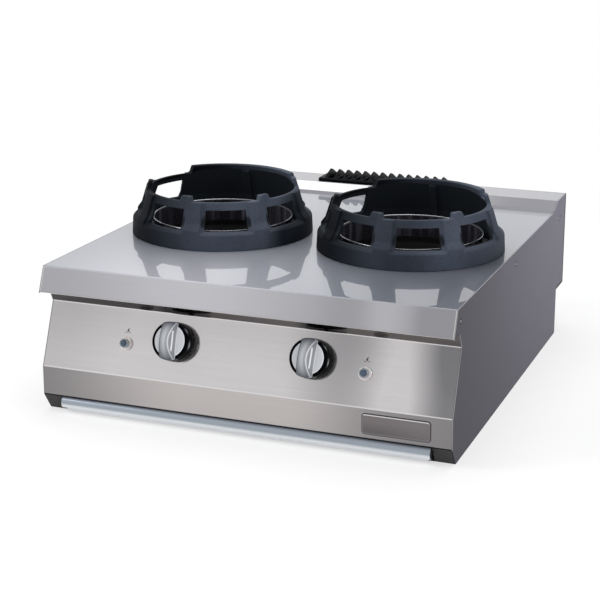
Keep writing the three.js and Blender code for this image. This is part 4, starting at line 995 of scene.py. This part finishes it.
def knobGrip():
    # the section at each station: left wall, arched top, ridge, then the plane facet to the right edge
    k = knob
    (left, right), reach = k["grip"], k["reach"]
    v = np.sin(np.linspace(-math.pi / 2, math.pi / 2, k["stations"]))[:, None] * (reach - 0.4)
    middle = 1 - (v / reach) ** 2  # 1 at mid-length, near 0 at the ends
    arch = k["height"] * middle + 0.1
    half = np.sqrt(reach ** 2 - v ** 2)
    x0, x1 = np.maximum(left, -half), np.minimum(right, half)
    ridge = np.clip(right - arch / facetSlope, x0 + 0.02, x1 - 0.02)
    u = np.linspace(0, 1, 9)[None, :]
    facet = ridge + (x1 - ridge) * np.linspace(0, 1, 7)[None, 1:]
    xs = np.hstack([x0, x0 + (ridge - x0) * u, facet, x1])
    height = np.minimum(arch + 0 * xs, np.maximum((right - xs) * facetSlope, 0.05))
    height[:, [0, -1]] = -1.0
    rows = np.stack([xs, v + 0 * xs, k["top"] + height], -1)
    # tones, all painted light and shade: the arch is dark at its ends and light at mid-length, with a
    # painted shade line along its left wall, the ridge and the facet's far edge have painted highlights,
    # and the facet is mid-grey
    arched = middle ** 0.8 * (0.27 + 0.24 * np.exp(-((u - 0.5) / 0.22) ** 2))
    arched[:, 0], arched[:, -1] = 0.02, 0.5 + 0.35 * middle[:, 0]
    grey, one = 0.2 + 0.1 * middle + 0 * u[:, :5], np.ones((len(v), 1))
    return skin(rows), np.hstack([0.05 * one, arched, grey, 0.9 * one, 0.7 * one]).ravel()


def knobIndex():
    # a rounded bar lying on the facet: its girth falls to nothing at both ends as a circle does
    k = knob
    at, long, wide = k["index"]
    t = np.linspace(-1, 1, 33)[:, None]
    b = around(12).T
    past = np.clip(np.abs(t) * long - (long - wide), 0, None) / wide
    girth = wide * np.sqrt(np.clip(1 - past ** 2, 1e-4, 1))
    x = at + girth * np.cos(b)
    arch = k["height"] * (1 - (t * long / k["reach"]) ** 2)
    z = k["top"] + np.minimum((k["grip"][1] - x) * facetSlope, arch) + k["indexRise"] * np.sin(b)
    return skin(np.stack([x, t * long + 0 * b, z], -1))


def makeKnob(side):
    k = knob
    x, drop = controls["knobs"] * sides[side], controls["knobDrop"]
    spin = spinAbout(k["turn"][side])
    shell, glow = knobBody()
    body = newPiece(f"knob_moulding_{side}", [onPanel(shell, x, drop)], "blackPlastic", tones=glow)
    fit(body, f"knob_{side}", "knob_black", f"knob_{side}")
    (disc, discTones), (grip, gripTones) = knobDisc(), knobGrip()
    parts = [onPanel((p @ spin, f), x, drop) for p, f in (disc, grip)]
    tones = np.concatenate([discTones, gripTones])
    face = newPiece(f"knob_bright_face_{side}", parts, "silverFace", 28, tones)
    eased(face, 0.45, 3, 26)
    fit(face, f"knob_{side}", "knob_silver", f"knob_face_{side}")
    p, f = knobIndex()
    line = newPiece(f"knob_index_{side}", [onPanel((p @ spin, f), x, drop)], "indexSteel", 60)
    fit(line, f"knob_{side}", "knob_silver")


for side in sides:
    makeKnob(side)
print("knobs made")


# Piezo igniters: clear collar and nose with a blue-grey button

piezo = {
    "housing": [(0, -48), (9, -48), (9, 0.3), (12.5, 0.3), (12.5, 3), (11.6, 4), (9.4, 4.2), (8.5, 5),
                (8.5, 12.2), (7.8, 13), (5.8, 13), (5.8, -11), (0, -11)],
    "housingCorners": [0, 0.8, 0.2, 0.4, 0.6, 0.6, 0.5, 0.4, 0.4, 0.4, 0.4, 0.2, 0],
    "button": [(0, -6.5), (5.5, -6.5), (5.5, 15.6), (4.6, 16.5), (0, 16.2)],
    "buttonCorners": [0, 0.3, 0.8, 1.0, 0],
    # the spark mark over it: a bolt, and a short stroke at each side of its foot with its lean
    "markDrop": 41, "markHeight": (0.02, 0.08),
    "ray": (1.5, 0.6), "rays": [(-3.9, -3.0, 35), (4.0, -2.8, -35)],
    "bolt": [(0.9, 4.9), (-2.4, -0.6), (-0.3, -0.6), (-1.7, -4.9), (2.7, 1.0), (0.5, 1.0), (2.7, 4.9)],
}


def makePiezo(side):
    g = piezo
    x, drop = controls["piezos"] * sides[side], controls["piezoDrop"]
    housing = spun(rounded(g["housing"], g["housingCorners"], 4, closed=False), 72, solid=True)
    piece = newPiece(f"piezo_clear_housing_{side}", [onPanel(housing, x, drop)], "clearPlastic")
    fit(piece, "root", "clear_plastic", f"piezo_housing_{side}")
    button = spun(rounded(g["button"], g["buttonCorners"], 4, closed=False), 48, solid=True)
    piece = newPiece(f"piezo_push_{side}", [onPanel(button, x, drop)], "bluePlastic")
    fit(piece, f"piezo_button_{side}", "button_blue", f"piezo_button_{side}")
    long, wide = g["ray"]
    ray = np.array([(-long, -wide), (long, -wide), (long, wide), (-long, wide)])
    flats = [np.array(g["bolt"])]
    flats += [ray @ spinAbout(lean)[:2, :2] + (px, py) for px, py, lean in g["rays"]]
    parts = []
    for flat in flats:
        rows = np.stack([np.column_stack([flat, np.full(len(flat), h)]) for h in g["markHeight"]])
        parts.append(onPanel(skin(rows), x, g["markDrop"]))
    piece = newPiece(f"spark_mark_{side}", parts, "printInk")
    fit(piece, "root", "knob_black")


for side in sides:
    makePiezo(side)
print("igniters made")


# Flue grille: a cast plate with slots and a row of arched fins

grille = {
    "half": 150, "y": (371, 445.2), "z": (300.3, 308), "bevel": 3, "pitch": 20.4, "fins": 14, "bar": 10.4,
    "slotY": (378, 438.2), "finHalf": 31, "finTop": 323.5, "curve": 1.35, "finFoot": 8.4, "finCrest": 2.6,
    "lug": (137.6, 139.6, 292.3), "overlap": 1, "grain": 0.95,
}


def makeGrille():
    g = grille
    (y0, y1), (z0, z1), (s0, s1), half = g["y"], g["z"], g["slotY"], g["half"]
    c, bar, lap = g["bevel"], g["bar"] / 2, g["overlap"]
    parts = [
        alongX([(y0, z0), (s0, z0), (s0, z1), (y0 + c, z1), (y0, z1 - c)], [-half, half]),
        alongX([(s1, z0), (y1, z0), (y1, z1 - c), (y1 - c, z1), (s1, z1)], [-half, half]),
    ]
    xs = (np.arange(g["fins"]) - (g["fins"] - 1) / 2) * g["pitch"]
    end = (g["fins"] / 2) * g["pitch"] - bar
    runs = [(-end, -half), (end, half)] + [(x - bar, x + bar) for x in xs[1:-1]]
    parts += [block((a, s0 - lap, z0), (b, s1 + lap, z1)) for a, b in runs]
    # a fin's section narrows upward; its height falls from the middle as the distance to a power
    t = np.linspace(-1, 1, 33)
    rise = 1 - np.abs(t) ** g["curve"]
    top = z1 + (g["finTop"] - z1) * rise
    low, high = g["finFoot"] / 2, g["finCrest"] / 2
    wide = low + (high - low) * np.clip(rise, 0, 1)
    foot = z1 - 3 + 0 * t
    for x in xs:
        px = np.stack([-low + 0 * t, low + 0 * t, wide, -wide], 1) + x
        pz = np.stack([foot, foot, top, top], 1)
        py = (y0 + y1) / 2 + (t * g["finHalf"])[:, None] + 0 * px
        parts.append(skin(np.stack([px, py, pz], -1)))
    a, b, lugFoot = g["lug"]
    parts += [block((s * a, s0 + 0.3, lugFoot), (s * b, s1 - 0.3, z0 + 2)) for s in (-1, 1)]
    piece = newPiece("flue_grille_casting", parts, "enamel")
    cast(piece, g["grain"])
    fit(piece, "flue_grille", "grille_enamel", "flue_grille")


makeGrille()
print("flue grille cast")


# Drip tray: a pan with a rolled front lip

tray = {
    "half": 357, "y": (-437, 330), "z": (3.6, 30.6), "wall": 1.2, "corner": 2.5, "foot": 1.6,
    "lipHalf": 362, "lip": (-450, -437, 9.5, 33), "lipTuck": (0.8, 0.6), "ease": 0.35,
}


def makeTray():
    t = tray
    half, (y0, y1), (z0, z1), wall, foot = t["half"], t["y"], t["z"], t["wall"], t["foot"]
    # loops of the pan, as inset and height: outer foot, outer rim, inner rim, inner floor
    levels = [(foot, z0), (0.5, z0 + 0.4), (0, z0 + foot), (0, z1), (wall, z1), (wall, z0 + wall + 1.4),
              (wall + 0.5, z0 + wall + 0.4), (wall + foot, z0 + wall)]
    loops = []
    for inset, z in levels:
        a, front, back = half - inset, y0 + inset, y1 - inset
        line = rounded([(-a, front), (a, front), (a, back), (-a, back)], t["corner"], 5)
        loops.append(np.column_stack([line, np.full(len(line), z)]))
    # the lip is half an ellipse in front of a flat back
    front, back, low, high = t["lip"]
    a = np.radians(np.linspace(90, 270, 29))
    middle, rise = (low + high) / 2, (high - low) / 2
    bow = np.stack([back + (back - front) * np.cos(a), middle + rise * np.sin(a)], 1)
    tuck, inset = t["lipTuck"]
    outline = np.vstack([[(back + tuck, low + inset), (back + tuck, high - inset)], bow])
    parts = [skin(np.array(loops)), alongX(outline, [-t["lipHalf"], t["lipHalf"]])]
    piece = newPiece("drip_tray_pressing", parts, "traySteel")
    eased(piece, t["ease"], 2, 40)
    fit(piece, "drip_tray", "tray_steel", "drip_tray")


makeTray()
print("drip tray made")


# Gas inlet: a hexagon and a threaded spigot with an open bore

inlet = {
    "x": 330, "z": 62, "y": (358.3, 406), "hex": (17, 9), "chamfer": (0.9, 1.1), "spigot": 10.7,
    "bore": 7.7, "tubeFrom": 8, "threadFrom": 15, "threadEnd": 1, "pitch": 1.8, "depth": 0.6,
}


def makeInlet():
    n = inlet
    y0, y1 = n["y"]
    # the thread: the radius falls as a triangle wave that climbs one pitch in each turn
    a = around(72)
    y = np.linspace(y0 + n["threadFrom"], y1 - n["threadEnd"], 120)[None, :]
    wave = np.abs(((y / n["pitch"] - a / (2 * math.pi)) % 1) * 2 - 1)
    bore, crest, foot = n["bore"] + 0 * a, n["spigot"] + 0 * a, y0 + n["tubeFrom"] + 0 * a
    r = np.hstack([bore, crest, crest - n["depth"] * wave, crest - 1, bore])
    along = np.hstack([foot, foot, y + 0 * a, y1 + 0 * a, y1 + 0 * a])
    tube = skin(np.stack([n["x"] + r * np.cos(a), along, n["z"] + r * np.sin(a)], -1), loop=True)
    # the hexagon: its flats meet a turned chamfer, as on a pipe fitting
    (radius, long), (share, cut) = n["hex"], n["chamfer"]
    b = around(96)
    flat = radius * math.cos(math.pi / 6) / np.cos((b + math.pi / 6) % (math.pi / 3) - math.pi / 6)
    levels = np.array([0.0, 0.0, cut, long - cut, long, long])
    r = np.minimum(flat, radius * np.array([0, share, 1, 1, share, 0]))
    rows = np.stack([n["x"] + r * np.cos(b), y0 + levels + 0 * b, n["z"] + r * np.sin(b)], -1)
    head = skin(rows, loop=True, across=False)
    piece = newPiece("gas_inlet_fitting", [tube, head], "brass", 25)
    fit(piece, "root", "brass", "gas_inlet")


makeInlet()
print("gas inlet made")


# Screws: domed heads with a cross recess

screws = {
    "radius": 3.6, "dome": 0.9, "curve": 2.4, "cross": (0.5, 2.1), "crossDepth": 0.55, "skirt": -0.3,
    "sunk": 0.9,
    "side": [(y / mm, sideLook["screwHeight"] / mm) for y in sideLook["screws"]], "sideFace": 400,
    "top": [(-383.2, 433.2), (383.2, 433.2)], "topFace": 300,
    "rear": [(x, 290.0) for x in (-330, -165, 165, 330)], "rearFace": 450,
}


def screwHead():
    # height falls from the middle as a flat dome; the cross is sunk where either arm is near
    s = screws
    share = np.linspace(0, 1, 12)[None, :]
    a = around(40)
    x, y = share * s["radius"] * np.cos(a), share * s["radius"] * np.sin(a)
    arm, long = s["cross"]
    near, far = np.minimum(np.abs(x), np.abs(y)), np.maximum(np.abs(x), np.abs(y))
    sunk = ease((arm - near) / 0.25 + 0.5) * ease((long - far) / 0.3 + 0.5)
    z = s["dome"] * (1 - share ** s["curve"]) + 0.02 - s["crossDepth"] * sunk
    below = s["skirt"] + 0 * a
    wall = np.stack([s["radius"] * np.cos(a), s["radius"] * np.sin(a), below], -1)
    rows = np.concatenate([np.stack([x, y, z], -1), wall, np.stack([0 * a, 0 * a, below], -1)], 1)
    # the tone is painted light: a highlight over the head, fading to painted shade in the cross and at the
    # edge
    tone = np.hstack([(1 - 0.6 * sunk) * ease((0.97 - share) / 0.1 + 0 * a), 0 * a, 0 * a])
    return skin(rows, loop=True, across=False), tone.ravel()


def makeScrews():
    s = screws
    (points, faces), tone = screwHead()
    u, v, out = points.T
    out = out - s["sunk"]
    side = [(np.stack([way * (s["sideFace"] + out), y + u, z + v], 1), faces)
            for way in (-1, 1) for y, z in s["side"]]
    top = [(np.stack([x + u, y + v, s["topFace"] + out], 1), faces) for x, y in s["top"]]
    rear = [(np.stack([x + u, s["rearFace"] + out, z + v], 1), faces) for x, z in s["rear"]]
    for name, parts in (("side_screws", side), ("top_screws", top), ("rear_screws", rear)):
        piece = newPiece(name, parts, "screwSteel", 40, np.tile(tone, len(parts)))
        fit(piece, "root", "side_steel")


makeScrews()
print("screws made")


# Carried-over solids get their finishes, and narrow rounded edges where they show

kept = {
    "sideSteel": ["side_panel_left", "side_panel_right"],
    "galvanised": ["rear_panel", "base_pan", "burner_rail_front", "burner_rail_rear", "tray_runner_left",
                   "tray_runner_right", "flue_duct"],
    "castIron": ["burner_body_", "mixing_tube_"],
    "brass": ["injector_", "pilot_burner_", "gas_tap_", "tap_spindle_", "push_rod_"],
    "ceramic": ["spark_electrode_"],
    "copper": ["thermocouple_", "pilot_tube_", "supply_tube_"],
    "leadJacket": ["ignition_lead_"],
    "paintedPipe": ["gas_manifold"],
}
edgeWidths = {
    "side_panel_left": 0.3, "side_panel_right": 0.3, "rear_panel": 0.3, "base_pan": 0.3,
    "burner_body_left": 1, "burner_body_right": 1,
}

for finish, names in kept.items():
    for node in [name + side for name in names for side in (sides if name.endswith("_") else [""])]:
        solid = nodes[node]
        solid.data.materials.clear()
        solid.data.materials.append(finishes[finish])
        solid.modifiers.new("weld", "WELD").merge_threshold = 1e-5
        if node in edgeWidths:
            eased(solid, edgeWidths[node], 2, 30)
print("solids dressed")


# Floor, light and camera

studio = {
    "floor": (30000, -0.05),  # radius and height
    "clear": (0.9, 1.9, 0.62, 1.0),  # how white the floor shows, by metres from the middle
    "sky": (0.72, 0.725, 0.735, 1),
    # place, what it looks at, size and power
    "lamps": {
        "key": ((-2.6, -1.6, 2.4), (0, 0, 0.2), (1.4, 1.2), 43),
        "top": ((0.2, 0.6, 3.2), (0, 0, 0.2), (2.4, 2.4), 40),
        "side": ((3.0, -0.6, 1.3), (0, -0.1, 0.2), (0.16, 0.5), 10),
    },
}
camera = {
    "place": (1.0617, -2.8988, 1.0552), "yaw": 21.014, "pitch": 14.368, "roll": 0.021, "lens": 94.38,
    "sensor": 36, "shift": (0.0, -0.1),
}


def whiteRays(b):
    # 1 for camera, mirror and see-through rays, which all see the background white
    rays = ("Is Camera Ray", "Is Glossy Ray", "Is Transmission Ray")
    seen, glossy, through = [b.node("LightPath", out=ray) for ray in rays]
    return seen.most(glossy).most(through)


def makeFloor():
    radius, height = studio["floor"]
    a = around(64)[:, 0]
    points = np.stack([radius * np.cos(a), radius * np.sin(a), 0 * a + height], 1)
    floor = newPiece("floor", [(points, [list(range(len(a)))])], None)
    material = bpy.data.materials.new("paleFloor")
    material.use_nodes = True
    b = Board(material.node_tree)
    here = b.node("VectorMath", {"operation": "LENGTH"}, [b.node("TexCoord", out="Object")], out="Value")
    mottle = b.blend(b.fade(b.noise(3, 2), 0.3, 0.7), "#f6f6f6", "#fafafa")
    matt = b.node("BsdfDiffuse", {}, {"Color": mottle})
    glow = b.node("Emission", {}, {"Color": (1, 1, 1, 1), "Strength": 1.0})
    mask = whiteRays(b) * b.fade(here, *studio["clear"])
    b.node("OutputMaterial", {}, {"Surface": b.node("MixShader", {}, [mask, matt, glow])})
    floor.data.materials.append(material)


def makeWorld():
    world = bpy.data.worlds.new("studio")
    bpy.context.scene.world = world
    world.use_nodes = True
    b = Board(world.node_tree)
    soft = b.node("Background", {}, {"Color": studio["sky"], "Strength": 1.0})
    white = b.node("Background", {}, {"Color": (1, 1, 1, 1), "Strength": 1.0})
    b.node("OutputWorld", {}, {"Surface": b.node("MixShader", {}, [whiteRays(b), soft, white])})


def aim(holder, xAxis, yAxis, zAxis, place):
    turn = Matrix(np.column_stack([xAxis, yAxis, zAxis]).tolist()).to_4x4()
    turn.translation = place
    holder.matrix_world = turn


def makeLamp(name, place, target, size, power):
    lamp = bpy.data.lights.new(name, "AREA")
    lamp.shape, lamp.size, lamp.size_y, lamp.energy = "RECTANGLE", *size, power
    out = unit(np.array(place, float) - np.array(target, float))
    across = unit(np.cross([0, 0, 1.0], out))
    aim(placed(name, lamp), across, np.cross(out, across), out, place)


def makeCamera():
    c = camera
    yaw, pitch, roll = (math.radians(c[k]) for k in ("yaw", "pitch", "roll"))
    right = np.array([math.cos(yaw), math.sin(yaw), 0])
    ahead = np.array([-math.sin(yaw), math.cos(yaw), 0]) * math.cos(pitch) - [0, 0, math.sin(pitch)]
    up = np.cross(right, ahead)
    xAxis = right * math.cos(roll) + up * math.sin(roll)
    yAxis = up * math.cos(roll) - right * math.sin(roll)
    data = bpy.data.cameras.new("camera")
    data.lens, data.sensor_width = c["lens"], c["sensor"]
    data.shift_x, data.shift_y = c["shift"]
    holder = placed("camera", data)
    aim(holder, xAxis, yAxis, -ahead, c["place"])
    bpy.context.scene.camera = holder


makeFloor()
makeWorld()
for name, values in studio["lamps"].items():
    makeLamp(name, *values)
makeCamera()
bpy.context.scene.view_settings.view_transform = "Standard"
print("floor, light and camera set")
